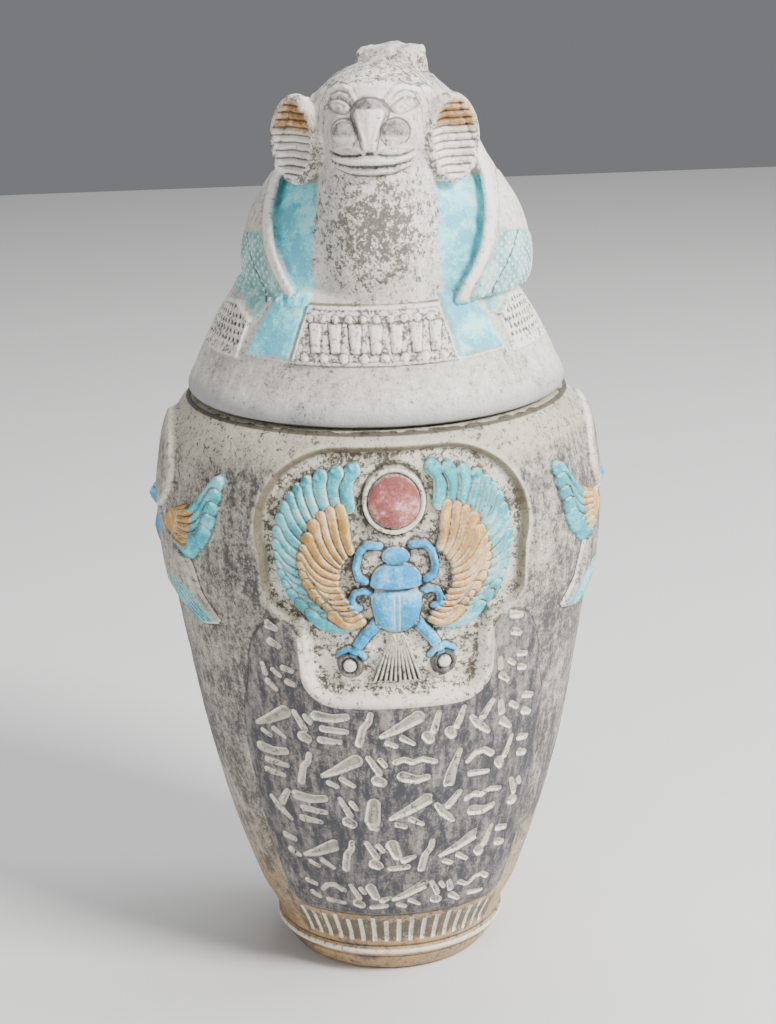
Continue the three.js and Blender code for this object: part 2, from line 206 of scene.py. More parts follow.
def along(x: Array, z: Array, path: Sequence[Point], start: float, end: float) -> Array:
    """The distance into a stroke along a path, whose half width runs from start to end.

    Args:
        x: First coordinate of the points.
        z: Second coordinate of the points.
        path: The points that the stroke runs through.
        start: Half the width at the first point.
        end: Half the width at the last point.

    Returns:
        Half the stroke's width less the distance to its middle: positive inside.
    """
    best = np.full_like(x, -np.inf)
    legs = len(path) - 1
    for leg, ((ax, az), (bx, bz)) in enumerate(zip(path[:-1], path[1:])):
        dx, dz = bx - ax, bz - az
        part = np.clip(((x - ax) * dx + (z - az) * dz) / (dx * dx + dz * dz), 0, 1)
        half = start + (end - start) * (leg + part) / legs
        best = np.maximum(best, half - np.hypot(x - ax - part * dx, z - az - part * dz))
    return best


def arc(centre: Point, size: Point, start: float, end: float, steps: int) -> list[Point]:
    """Points round part of an ellipse.

    Args:
        centre: Its middle.
        size: Its two half axes.
        start: The first angle in degrees.
        end: The last angle in degrees.
        steps: How many steps between them.

    Returns:
        The points in order, one more than the steps.
    """
    turns = np.radians(np.linspace(start, end, steps + 1))
    return [(centre[0] + size[0] * math.cos(a), centre[1] + size[1] * math.sin(a)) for a in turns]


def mirrored(half: Sequence[Point]) -> list[Point]:
    """A closed outline from its right half."""
    return [*half, *((-x, z) for x, z in reversed(half))]


def degrees_to_arc(outline: Sequence[Point]) -> list[Point]:
    """An outline in degrees and heights, as arcs in millimetres and heights."""
    return [(math.radians(turn) * ARC_RADIUS, z) for turn, z in outline]


# ---- The relief drawn on a wall laid flat ----


@dataclass
class Relief:
    """The carving of a surface, point by point: its height and what it carries.

    Marks are distances in millimetres into what they name, up to MARK_REACH either way, so that
    they stay true between the points of a mesh.
    """

    x: Array
    z: Array
    height: Array = field(init=False)
    marks: dict[Mark, Array] = field(init=False)

    MARK_REACH = 2.0

    def __post_init__(self) -> None:
        """Start flat and bare."""
        self.height = np.zeros_like(self.x)
        self.marks = {mark: np.full_like(self.x, -self.MARK_REACH) for mark in Mark}

    def window(self, low: Point, high: Point) -> "Window":
        """The part of the relief inside a box.

        Args:
            low: The box's lowest x and z.
            high: The box's highest x and z.

        Returns:
            That part, which writes back to this relief.
        """
        chosen = (self.x > low[0]) & (self.x < high[0]) & (self.z > low[1]) & (self.z < high[1])
        return Window(self, np.nonzero(chosen)[0])


@dataclass
class Window:
    """Some of a relief's points, so that a small figure costs little."""

    relief: Relief
    index: Array

    @property
    def x(self) -> Array:
        """The arcs of these points."""
        return self.relief.x[self.index]

    @property
    def z(self) -> Array:
        """The heights above the foot of these points."""
        return self.relief.z[self.index]

    def build(self, height: Array, depth: Array) -> None:
        """Raise the surface to a height where that is higher, inside a figure.

        Args:
            height: The new height.
            depth: The distance into the figure: only positive ones are raised.
        """
        old = self.relief.height[self.index]
        self.relief.height[self.index] = np.where(depth > 0, np.maximum(old, height), old)

    def cover(self, height: Array, depth: Array) -> None:
        """Lay a figure over all that is there: its own height, and none of the marks under it.

        Args:
            height: The new height.
            depth: The distance into the figure.
        """
        old = self.relief.height[self.index]
        self.relief.height[self.index] = np.where(depth > 0, height, old)
        for mark in (Mark.TEAL, Mark.GOLD, Mark.CREST, Mark.BLUE, Mark.CREAM, Mark.SLATE, Mark.SEAM):
            self.clear(mark, depth)

    def carve(self, depth: Array, amount: float, edge: float) -> None:
        """Cut a groove of a given depth below what is there."""
        self.relief.height[self.index] -= amount * smooth(-edge, edge, depth)

    def mark(self, mark: Mark, depth: Array) -> None:
        """Note the distance into something, where that is more than was there."""
        limit = self.relief.MARK_REACH
        layer = self.relief.marks[mark]
        layer[self.index] = np.maximum(layer[self.index], np.clip(depth, -limit, limit))

    def clear(self, mark: Mark, depth: Array) -> None:
        """Take a mark away inside something else."""
        limit = self.relief.MARK_REACH
        layer = self.relief.marks[mark]
        layer[self.index] = np.minimum(layer[self.index], np.clip(-depth, -limit, limit))


# ---- The jar ----

Stroke = tuple[list[Point], float, float]

PANEL_DEPTH = 3.2

JAR_WALL: list[Point] = [
    (0, 28), (0.5, 29.8), (1.6, 31), (4.2, 33), (9.5, 35.5), (10.6, 35.4), (24, 40.9), (46, 48.2),
    (72, 54.8), (100, 59.9), (128, 64.2), (147, 65.3), (162, 63.8), (170, 62), (174.6, 59.8),
    (177, 58), (178.3, 56.4), (179, 54.4),
]
JAR_INSIDE: list[Point] = [
    (179, 44.6), (178.2, 43.7), (173, 43.6), (162, 54), (142, 56.5), (96, 50.5), (44, 39), (16, 27),
    (12, 22), (12, 12), (12, 5),
]
PANEL: list[Point] = mirrored([
    *reversed(degrees_to_arc([(25, 125), (25, 112), *arc((16, 108), (9, 8.1), 0, -90, 8)])),
    *degrees_to_arc([(26.2, 124.4), (29, 124.8), (32, 126.5), (35.5, 130)]),
    *degrees_to_arc(arc((14, 152), (23, 23.6), -20, 90, 20)),
])
FIELD: list[Point] = mirrored(degrees_to_arc([
    (44, 24), (47.4, 26), (49, 29), (49.8, 44), (50, 60), (49.8, 72), (49.5, 82), (47.5, 94),
    (44, 104), (42.6, 111), (40.6, 117), (37.4, 121.8), (34, 124), (31, 124.6), (28.4, 123.6),
    (26.2, 120), (25.4, 115), (25, 108), (20, 104),
]))

MARKS: dict[str, tuple[float, list[Stroke]]] = {
    "drop": (6.2, [([(1.5, 4.4), (0.2, -0.8)], 0.5, 0.9), ([(-1.7, -2.2), (-0.9, -3.4)], 1.3, 1.1)]),
    "sprig": (6.8, [
        ([(-1.6, 4.2), (0.9, -0.6)], 0.55, 0.75), ([(0.2, -2.8), (1.4, -3.4)], 1.4, 1.2),
        ([(1.4, 3.4), (2.6, 1.6)], 0.6, 0.5),
    ]),
    "bent": (6.2, [([(-1.6, -4.4), (-0.6, 0.2), (0.9, 2.2), (1.3, 4.4)], 0.9, 0.6)]),
    "wedge": (11.0, [
        ([(4.6, 3.6), (-1.0, 0.2), (-4.6, -1.6)], 1.7, 0.5), ([(0.6, -2.2), (3.6, -4.2)], 0.7, 0.4),
        ([(-3.2, -3.6), (-1.0, -4.6)], 0.6, 0.5),
    ]),
    "slabs": (10.4, [
        ([(-4, 3.6), (0.2, 2.9), (3.8, 3.4)], 1.3, 0.9), ([(-2.8, -0.2), (3.4, -1.0)], 0.8, 0.6),
        ([(-3.8, -3.6), (1.6, -4.2)], 0.9, 0.5),
    ]),
    "ripple": (12.2, [
        ([(-5.2, 2.4), (-3, 3.3), (-0.8, 2.3), (1.6, 3.3), (5, 2.2)], 0.7, 0.6),
        ([(-3.2, -1.9), (0.4, -3.0), (3.2, -2.4)], 1.4, 0.8),
    ]),
    "pod": (6.2, [([(0.4, 3.6), (-0.3, -1.8)], 1.5, 1.9), ([(-0.9, -4.0), (0.6, -4.6)], 0.6, 0.5)]),
    "sheaf": (7.8, [
        ([(2.9, 4.4), (0.4, 0.6)], 0.7, 1.0), ([(-2.9, 1.2), (-0.9, -1.6)], 0.6, 0.9),
        ([(0.2, -2.4), (2.3, -4.4)], 0.9, 0.5),
    ]),
    "leaf": (6.2, [([(1.9, 4.6), (0.8, 1.8), (-0.2, -1.2), (-0.9, -4.6)], 0.6, 1.5)]),
    "heel": (8.2, [
        ([(-2.3, 3.9), (-1.0, 0.1)], 1.5, 1.1), ([(0.9, -1.4), (3.3, -0.4)], 0.9, 0.6),
        ([(-2.8, -4.1), (1.9, -3.6)], 0.6, 0.7),
    ]),
    "pair": (5.8, [([(-1.6, 3.4), (1.1, 2.6)], 0.9, 0.7), ([(-0.9, -1.4), (1.3, -2.4)], 1.0, 0.7)]),
    "arch": (8.6, [
        ([(-3.6, 0.8), (-1.6, 2.9), (1.0, 3.2), (3.4, 1.4)], 0.6, 0.8),
        ([(-2.4, -3.2), (2.9, -3.9)], 0.8, 0.5),
    ]),
    "trio": (8.2, [
        ([(-2.6, 3.9), (-1.9, 0.9)], 0.7, 0.9), ([(1.0, 2.6), (3.3, 0.9)], 0.7, 0.6),
        ([(-1.3, -1.9), (1.4, -4.2)], 1.1, 0.6),
    ]),
}
ROWS: list[tuple[float, float, str]] = [
    (91.4, 44, "wedge sprig slabs bent wedge drop drop sheaf trio pair"),
    (77.3, 45, "slabs bent wedge sprig ripple leaf arch drop pair"),
    (62.7, 45, "sheaf slabs sprig pod wedge sheaf ripple sprig"),
    (47.0, 43, "pair wedge bent sprig heel bent wedge drop pair"),
    (31.6, 38, "pair arch sprig heel wedge sprig trio arch"),
]
LOBE_ROWS: list[tuple[float, float, str]] = [
    (119.4, 3.4, "pair"), (106.4, 6.6, "trio pair"),
]


def plume(x: Array, z: Array, path: Array, half: Array) -> tuple[Array, Array]:
    """The distance into a feather, and how far across it a place lies.

    The feather is a stroke round a bent line; the nearest leg of the line gives the offset.

    Args:
        x: First coordinate of the points.
        z: Second coordinate of the points.
        path: The middle line's points, one row each, from root to tip.
        half: Half the width at each of them.

    Returns:
        The distance, positive inside, and the offset over half the width, positive to the left.
    """
    best, across = np.full_like(x, -np.inf), np.zeros_like(x)
    for (ax, az), (bx, bz), near, far in zip(path[:-1], path[1:], half[:-1], half[1:]):
        dx, dz = bx - ax, bz - az
        part = np.clip(((x - ax) * dx + (z - az) * dz) / (dx * dx + dz * dz), 0, 1)
        px, pz = x - ax - part * dx, z - az - part * dz
        width = near + (far - near) * part
        depth = width - np.hypot(px, pz)
        across = np.where(depth > best, (dx * pz - dz * px) / math.hypot(dx, dz) / width, across)
        best = np.maximum(best, depth)
    return best, across


@dataclass(frozen=True)
class Plumage:
    """A band of overlapping feathers, each drawn between two of its numbered parting lines.

    A line is a cubic through four points, root to tip, and lines that aren't given lie evenly
    between those that are. Feathers are laid from the first line on, each over the last.
    """

    lines: dict[int, list[Point]]
    ridge: float
    valley: float
    paint: Mark
    lap: float = 1.12

    def parting(self, number: float) -> Array:
        """Nine points down one parting line: weights of the cubic times its four points."""
        keys = sorted(self.lines)
        given = np.array([self.lines[key] for key in keys], float).reshape(len(keys), 8)
        four = np.array([np.interp(number, keys, column) for column in given.T]).reshape(4, 2)
        u = np.linspace(0, 1, 9)[:, None] * 3
        weights = np.concatenate([
            (1 - u) * (2 - u) * (3 - u) / 6, u * (2 - u) * (3 - u) / 2,
            u * (u - 1) * (3 - u) / 2, u * (u - 1) * (u - 2) / 6,
        ], 1)
        return weights @ four

    def draw(self, relief: Relief, origin: float = 0.0) -> None:
        """Lay all the feathers on both sides of an upright axis.

        Args:
            relief: The surface to be carved.
            origin: The axis as an arc.
        """
        for number in range(max(self.lines)):
            first, last = self.parting(number), self.parting(number + 1)
            path = (first + last) / 2
            half = np.hypot(*(last - first).T) / 2 * self.lap
            half = np.minimum(half, 2.4)
            path[-1] += (path[-2] - path[-1]) / np.hypot(*(path[-2] - path[-1])) * half[-1] * 0.6
            low, high = path.min(0) - 3, path.max(0) + 3
            for side in (-1, 1):
                ends = sorted((origin + side * low[0], origin + side * high[0]))
                part = relief.window((ends[0], low[1]), (ends[1], high[1]))
                depth, across = plume(side * (part.x - origin), part.z, path, half)
                swell = smooth(1.0, 0.7, across) * (0.3 + 0.7 * smooth(-1.0, 0.3, across))
                swell = swell * smooth(0, 0.45, depth)
                part.cover(self.valley + (self.ridge - self.valley) * swell, depth)
                part.mark(self.paint, depth)
                # Painted highlight: a pale line along each feather's upper edge. Painted shade: a dark line
                # at its outline, where it laps over the last.
                rim = np.where(across > -0.35, 0.15 - np.abs(depth - 0.32), -2.0)
                part.mark(Mark.CREST, rim)
                part.mark(Mark.SEAM, 0.16 - np.abs(depth + 0.02))


OUTER_FEATHERS = Plumage({
    0: [(12.0, 160.5), (12.2, 165.4), (11, 168.6), (8.3, 170.4)],
    1: [(15, 158), (16.4, 163.6), (15.8, 167), (13.4, 169.6)],
    2: [(18, 157), (19.7, 162.6), (20, 166.1), (18.6, 168.8)],
    3: [(20.6, 155), (23.6, 161.6), (24.5, 164.8), (24.2, 167.4)],
    4: [(22.8, 153), (26.4, 159.8), (27.6, 163.3), (28, 166)],
    6: [(25, 149.4), (29.2, 154.4), (31.4, 158), (32.3, 161)],
    8: [(26, 145.2), (31.2, 147.6), (33.9, 150.8), (35, 154)],
    10: [(26, 139.8), (30.9, 141), (34.1, 143.3), (35.9, 146.4)],
    12: [(25, 134.9), (30, 135.8), (33.3, 138), (35.2, 141.2)],
    14: [(21, 129.8), (27.2, 129.9), (30.8, 131.7), (33, 135.3)],
    16: [(15, 126), (21, 124.7), (25, 126.4), (28.4, 129.7)],
    17: [(11, 123.4), (17.7, 122.3), (21.5, 123.5), (24.8, 126)],
}, -0.9, -2.4, Mark.TEAL)
INNER_FEATHERS = Plumage({
    0: [(12.2, 148), (13, 151.4), (13.5, 155.7), (14.4, 159.8)],
    1: [(14.1, 146), (15.9, 150.6), (16.7, 154.7), (17.4, 159.5)],
    3: [(16.2, 143), (19.5, 146.9), (21.5, 151.2), (22.8, 156.8)],
    5: [(17.2, 140.1), (21.5, 141.8), (24.3, 144.9), (26.6, 149.1)],
    7: [(17.7, 136), (22, 136.7), (25.6, 139.4), (28.3, 144.3)],
    9: [(15.6, 132.2), (20.2, 131.9), (23.7, 134.1), (27.3, 139)],
    11: [(12.8, 129), (16.8, 128.4), (20.3, 129.8), (24, 133.1)],
    13: [(10.3, 126.4), (14, 125.1), (16.9, 126.6), (20.3, 129.8)],
    14: [(10.1, 124.2), (13.5, 122.9), (16.1, 123.8), (18.5, 126.2)],
}, -0.35, -1.7, Mark.GOLD)


SIDE_FEATHERS = Plumage({
    0: [(29.5, 151), (38, 155), (44, 161), (48.6, 165.4)],
    1: [(29, 149), (37.5, 151.6), (43, 156.6), (47.4, 162.2)],
    2: [(28.5, 147), (37, 148.6), (42, 152.4), (46.2, 158)],
    3: [(28, 145), (36, 145.6), (41.5, 149), (45, 154.4)],
    4: [(27, 143), (35, 143), (40, 145.8), (43.6, 150.8)],
    5: [(26, 141), (33, 140.4), (37.4, 142), (41, 147)],
    6: [(24, 139.5), (27.5, 137.8), (30.5, 138), (33.6, 141.5)],
}, 2.4, 0.5, Mark.TEAL)


@dataclass
class Jar:
    """The hollow jar: a turned wall with the sunk panel, the carved field and the side falcons."""

    front_reach: float = 53.0
    side_reach: float = 131.0
    fine_step: float = 0.33
    side_step: float = 0.62
    back_step: float = 2.4
    row_step: float = 0.36
    face_limit: int = 194000

    # -- Figures --

    def paint_panel(self, relief: Relief) -> None:
        """Raise the field, sink the panel in it, and roughen the panel's floor."""
        part = relief.window((-64, 8), (64, 178))
        field_depth = inside(part.x, part.z, FIELD)
        panel_depth = inside(part.x, part.z, PANEL)
        relief.height[part.index] += smooth(-0.3, 0.9, field_depth)
        part.mark(Mark.SLATE, np.minimum(field_depth, -panel_depth - 0.6))
        bead = smooth(-2.4, -0.8, panel_depth) * (1 - smooth(112, 120, part.z))
        relief.height[part.index] += 0.35 * bead
        # Painted light: a pale band on the panel's lower rim, which faces up towards the light.
        rim = np.minimum(np.minimum(panel_depth + 1.5, 2.2 - panel_depth), 121 - part.z)
        part.mark(Mark.CREAM, rim)
        places = np.stack([part.x, part.z, np.zeros_like(part.x)], 1)
        pits = rough(places, 1.9, 3, 5) * 0.42 + rough(places, 7.0, 2, 9) * 0.3
        width = 2.6 + 1.4 * smooth(120, 104, part.z)
        share = smooth(0, 1, panel_depth / width)
        old = relief.height[part.index]
        relief.height[part.index] = old + (-PANEL_DEPTH + pits * share - old) * share
        part.mark(Mark.FLOOR, panel_depth)
        # Painted shade: a dark line round the foot of the raised field's edge.
        part.mark(Mark.SEAM, np.minimum(0.45 - np.abs(field_depth + 0.5), -panel_depth - 1) * 0.6)

    def paint_disc(self, relief: Relief) -> None:
        """A domed disc in a narrow ring over the scarab's head."""
        part = relief.window((-12, 148), (12, 174))
        out = np.hypot(part.x, part.z - 160.6)
        part.build(-1.3 + 0 * out, 9.3 - out)
        part.carve(0.7 - np.abs(out - 10.1), 0.7, 0.5)
        part.carve(0.3 - np.abs(out - 7.75), 0.8, 0.35)
        # Painted shade: dark lines in the disc's two grooves.
        part.mark(Mark.SEAM, np.maximum(0.25 - np.abs(out - 7.75), 0.4 - np.abs(out - 9.9)))
        part.build(-1.4 + 1.5 * np.sqrt(np.clip(1 - (out / 7.6) ** 2, 0, 1)), 7.5 - out)
        part.mark(Mark.RED, 7.5 - out)
        part.mark(Mark.CREAM, np.minimum(9.3 - out, out - 8.0))

    def paint_wings(self, relief: Relief) -> None:
        """Two wings, mirrored: long outer feathers first, then the golden inner ones over them."""
        OUTER_FEATHERS.draw(relief)
        INNER_FEATHERS.draw(relief)

    def paint_scarab(self, relief: Relief) -> None:
        """The scarab: wing cases, thorax, head, six legs, and the two rings its hind legs hold."""
        part = relief.window((-20, 104), (20, 151))
        x, z = np.abs(part.x), part.z
        legs = [
            ([(4.7, 147.9), (8.4, 148.2), (10.7, 146), (11.7, 141.7), (11, 138.6), (9, 137.6)],
             1.1, 1.1),
            ([(7.4, 133.6), (9.6, 134.6), (12.2, 134), (13.2, 132), (12.6, 129.8), (11, 129.3)], 1.0, 0.9),
            ([(6.2, 124.4), (8.7, 121.7), (11.1, 118.8), (13.2, 115.6)], 1.9, 1.6),
            ([(10.2, 113.8), (12.4, 116.3), (15, 116.5), (18, 114.9)], 0.9, 0.9),
        ]
        for path, start, end in legs:
            depth = along(x, z, path, start, end)
            part.build(-2.6 + 1.9 * np.sqrt(np.clip(depth / 1.1, 0, 1)), depth)
            part.mark(Mark.BLUE, depth)
            # Painted shade: a dark line round the foot of each leg, kept off the leg itself.
            part.mark(Mark.SEAM, 0.3 - np.abs(depth + 0.3))
            part.clear(Mark.SEAM, depth)
        joint = 0.3 - np.abs(z - 121.2 - (x - 9.4) * 0.7) - smooth(3, 4, np.abs(x - 9.4))
        part.carve(joint, 0.4, 0.3)
        ring = np.hypot(x - 14.8, z - 111.3)
        part.build(-1.5 + 0 * ring, 3.9 - ring)
        part.carve(0.35 - np.abs(ring - 2.4), 0.9, 0.4)
        part.build(-1.7 + 0.6 * np.sqrt(np.clip(1 - (ring / 2.0) ** 2, 0, 1)), 2.0 - ring)
        part.mark(Mark.SLATE, np.minimum(3.9 - ring, ring - 1.9))
        part.mark(Mark.CREST, 1.5 - ring)
        # Painted shade: dark lines in the ring's groove and round its foot.
        part.mark(Mark.SEAM, np.maximum(0.22 - np.abs(ring - 2.3), 0.35 - np.abs(ring - 4.1)))
        bodies = (
            (133.0, 7.5, 1.9, 11.2, 2.4, 3.1), (136.4, 7.5, 6.7, 1.1, 2.2, 2.8),
            (144.6, 4.0, 2.9, 2.0, 2.2, 2.2),
        )
        for middle, wide, above, below, power, rise in bodies:
            tall = np.where(z > middle, above, below)
            radius = ((x / wide) ** power + (np.abs(z - middle) / tall) ** power) ** (1 / power)
            depth = (1 - radius) * np.where(z > middle, min(wide, above * 1.6), min(wide, below * 1.6))
            part.cover(-2.6 + rise * np.sqrt(np.clip(1 - radius**3, 0, 1)), depth)
            part.mark(Mark.BLUE, depth)
            # Painted shade: a dark line round the foot of each part of the body.
            part.mark(Mark.SEAM, 0.3 - np.abs(depth + 0.28))
            part.mark(Mark.CREST, 0.13 - np.abs(depth - 0.12))
        seam = np.where(z < 134.4, np.abs(x - 0.75), 9)
        line = np.maximum(0.24 - seam, 0.28 - np.abs(z - 135.0 + 0.012 * x * x))
        line = np.where((x < 6.6) & (z > 121.4) & (z < 136.2), line, -2)
        part.carve(line, 0.35, 0.3)
        part.mark(Mark.CREST, line)

    def paint_tail(self, relief: Relief) -> None:
        """The narrow fan of tail feathers under the scarab."""
        part = relief.window((-10, 104), (10, 123))
        down = 126 - part.z
        turn = np.arctan2(part.x, down)
        reach = math.radians(22.5)
        cell = (turn / reach + 1) * 5
        share = cell - np.floor(cell)
        half = down * reach / 5
        depth = np.minimum(np.minimum((reach - np.abs(turn)) * down, down - 4.5), 19.8 - down)
        part.build(-2.1 + 0.8 * (1 - smooth(0.1, 0.5, np.abs(share - 0.5))), depth)
        part.mark(Mark.SLATE, depth)
        part.mark(Mark.CREST, np.minimum(0.34 - np.abs(share - 0.5) * half, depth + 0.2))
        # Painted shade: dark lines in the grooves between the tail feathers.
        part.mark(Mark.SEAM, np.minimum(np.abs(share - 0.5) * half - 0.42, depth))

    def paint_falcons(self, relief: Relief) -> None:
        """A falcon with spread wings on each side, mirrored about its own upright middle."""
        for side in (-1, 1):
            middle = side * math.pi / 2 * ARC_RADIUS
            part = relief.window((middle - 50, 112), (middle + 50, 178))
            x, z = np.abs(part.x - middle), part.z
            disc = (1 - np.hypot(x / 22.7, (z - 160) / 15)) * 15
            part.build(2.3 * smooth(-0.1, 1.8, disc), disc)
            part.mark(Mark.CREAM, 0.5 - np.abs(disc - 1.1))
            body = inside(x, z, degrees_to_arc([
                (0, 150), (6, 151), (11, 146), (17, 143), (24, 141.5), (29, 134), (31.5, 127),
                (38.6, 120.2), (37.2, 118.6), (30, 116.8), (23, 119.4), (15, 121.5), (0, 123),
            ]))
            part.build(1.9 * smooth(-0.1, 1.5, body), body)
            part.mark(Mark.CREAM, np.minimum(body, 0.9 - body))
            # Painted shade: a dark line round the foot of the raised body.
            part.mark(Mark.SEAM, 0.3 - np.abs(body + 0.2))
            feathers = inside(x, z, degrees_to_arc([
                (14, 127.5), (19, 128.4), (27, 126.4), (37.4, 119.9), (29, 117.6), (23, 120),
                (16, 122.6),
            ]))
            part.mark(Mark.TEAL, feathers)
            part.clear(Mark.CREAM, feathers)
            stripe = np.minimum.reduce([
                np.abs((z - 120.2 - lift) - (34 * 1.134 - x) * slope)
                for lift, slope in ((-1.6, 0.36), (-0.6, 0.44), (0.5, 0.5))
            ])
            part.carve(np.minimum(0.3 - stripe, feathers), 0.5, 0.3)
            part.mark(Mark.CREST, np.minimum(0.16 - np.abs(stripe - 0.62), feathers))
            # Painted shade: dark lines in the tail bundle's carved stripes.
            part.mark(Mark.SEAM, np.minimum(0.2 - stripe, feathers))
            SIDE_FEATHERS.draw(relief, middle)
            brown = inside(x, z, [
                (19, 146), (25, 141), (32, 140), (34.5, 146), (37, 152), (34, 152.5), (27, 150),
            ])
            part.mark(Mark.GOLD, brown)
            part.clear(Mark.TEAL, brown)
            shoulder = inside(x, z, degrees_to_arc([
                (12, 143.5), (19, 150), (28, 153.4), (25, 146), (22.5, 141),
            ]))
            part.build(2.2 * smooth(-0.1, 1.2, shoulder), shoulder)
            part.mark(Mark.GOLD, shoulder)
            chest = (1 - np.hypot(x / 10, (z - 138) / 8)) * 8
            part.build(3.0 * np.sqrt(np.clip(chest / 8, 0, 1)), chest)
            part.mark(Mark.BLUE, np.minimum(chest, z - 138))
            part.mark(Mark.RED, np.minimum(chest, 3.2 - np.hypot(x - 13.5, z - 142)) + 0.5)
            head = 3.9 - np.hypot(x * 0.9, z - 148.5)
            part.build(1.0 + 3.2 * np.sqrt(np.clip(head / 3.9, 0, 1)), head)
            part.mark(Mark.BLUE, head)

    def paint_marks(self, relief: Relief) -> None:
        """The inscription: rows of sunk strokes that spell nothing, filled with pale dust."""
        for height, reach, names in ROWS:
            self.paint_row(relief, height, 0.0, math.radians(reach) * ARC_RADIUS, names.split())
        for height, reach, names in LOBE_ROWS:
            for middle in (-37.6, 37.6):
                self.paint_row(relief, height, middle, reach, names.split())

    def paint_row(
        self, relief: Relief, height: float, middle: float, reach: float, names: list[str],
    ) -> None:
        """Space a row's marks by their widths and cut each of them.

        Args:
            relief: The wall to be cut.
            height: The row's middle height.
            middle: The row's middle as an arc.
            reach: Half the row's length as an arc.
            names: Its marks from left to right.
        """
        narrow = ARC_RADIUS / float(through(JAR_WALL, np.array([height]))[0])
        widths = np.array([MARKS[name][0] for name in names])
        centres = middle - reach + (np.cumsum(widths) - widths / 2) * 2 * reach / widths.sum()
        size = min(1.12, 2 * reach / widths.sum() / narrow * 1.06)
        for number, (name, centre) in enumerate(zip(names, centres)):
            part = relief.window((centre - 8.5, height - 7), (centre + 8.5, height + 7))
            lean = 0.05 * math.sin(number * 2.3 + height)
            x = (part.x - centre) / narrow / size
            z = (part.z - height - 0.4 * math.sin(number * 1.7 + height)) / size
            x, z = x + z * lean, z - x * lean
            depth = np.full_like(x, -2.0)
            for path, start, end in MARKS[name][1]:
                depth = np.maximum(depth, along(x, z, path, start, end))
            cut = 0.95 * smooth(-0.15, 0.45, depth) - 0.6 * smooth(0.7, 1.5, depth)
            relief.height[part.index] -= cut
            part.mark(Mark.CUT, depth)
            # Painted shade: a dark line beside the upper right edge of each stroke, on one side only.
            part.mark(Mark.SEAM, np.minimum(0.22 - np.abs(depth + 0.45), x * 0.5 + z * 0.2))

    def paint_foot(self, relief: Relief) -> None:
        """Upright flutes low on the front, and a line round the foot ring."""
        part = relief.window((-60, 10), (60, 24))
        narrow = ARC_RADIUS / through(JAR_WALL, part.z)
        turn = part.x / 6.6
        cell = np.abs(turn - np.round(turn)) * 6.6 / narrow
        wave = 0.7 * np.sin(np.round(turn) * 2.1)
        flute = np.minimum(0.5 - cell, np.minimum(part.z - 12.4, 21.4 + wave - part.z))
        flute = np.minimum(flute, 58 - np.abs(part.x))
        part.carve(flute, 0.55, 0.35)
        part.mark(Mark.CUT, flute)
        zone = np.minimum(np.minimum(part.z - 11.6, 22.4 - part.z), 60 - np.abs(part.x))
        part.mark(Mark.SMOKE, zone - 1.2)
        ring = relief.window((-400, 3), (400, 13))
        ring.carve(0.35 - np.abs(ring.z - 6.3), 0.45, 0.4)
        ring.build(0.45 * smooth(-0.2, 1.2, 1.3 - np.abs(ring.z - 8.4)), 1.3 - np.abs(ring.z - 8.4))
        ring.carve(0.5 - np.abs(ring.z - 10.3), 0.5, 0.5)
        ring.mark(Mark.CREAM, 0.9 - np.abs(ring.z - 8.6))
        # Painted shade: dark lines in the two grooves of the foot ring.
        ring.mark(Mark.SEAM, np.maximum(0.3 - np.abs(ring.z - 10.4), 0.25 - np.abs(ring.z - 6.3)))
        # Painted shadow of the gap under the lid, along the top of the shoulder.
        shoulder = relief.window((-400, 174), (400, 179))
        shoulder.mark(Mark.SEAM, shoulder.z - 177.9)

    def relief(self, x: Array, z: Array) -> Relief:
        """All the carving at the given arcs and heights.

        Args:
            x: Arcs from the front, in millimetres at ARC_RADIUS.
            z: Heights.

        Returns:
            The height of the surface over the plain wall, and its marks.
        """
        relief = Relief(x, z)
        self.paint_falcons(relief)
        self.paint_panel(relief)
        self.paint_wings(relief)
        self.paint_tail(relief)
        self.paint_scarab(relief)
        self.paint_disc(relief)
        self.paint_marks(relief)
        self.paint_foot(relief)
        return relief

    # -- The mesh --

    def columns(self) -> Array:
        """The arcs of the mesh's columns: close together at the carved front and sides."""
        knots = [
            (-180, self.back_step), (-self.side_reach, self.side_step),
            (-self.front_reach, self.fine_step), (self.front_reach, self.side_step),
            (self.side_reach, self.back_step),
        ]
        ends = [turn for turn, _ in knots[1:]] + [180]
        runs = []
        for (start, step), end in zip(knots, ends):
            length = math.radians(end - start) * ARC_RADIUS
            runs.append(start + (end - start) * np.arange(0, 1, step / length))
        return np.radians(np.concatenate(runs)) * ARC_RADIUS

    def heights(self) -> Array:
        """The heights of the mesh's rows on the outside of the wall."""
        edge = np.array([0, 0.2, 0.5, 0.9])
        lip = np.array([178.2, 178.5, 178.75, 178.92, 179.0])
        return np.concatenate([edge, np.arange(1.3, 178.1, self.row_step), lip])

    def inner_rows(self) -> tuple[Array, Array]:
        """Heights and radii from the lip down the hollow to the middle of its floor."""
        z, r = np.array(JAR_INSIDE, float).T
        run = np.concatenate([[0], np.cumsum(np.hypot(np.diff(z), np.diff(r)))])
        places = np.concatenate([np.arange(0, run[-1], 5.5), [run[-1]], run])
        places = np.unique(np.round(places, 3))
        return np.interp(places, run, z), np.interp(places, run, r)

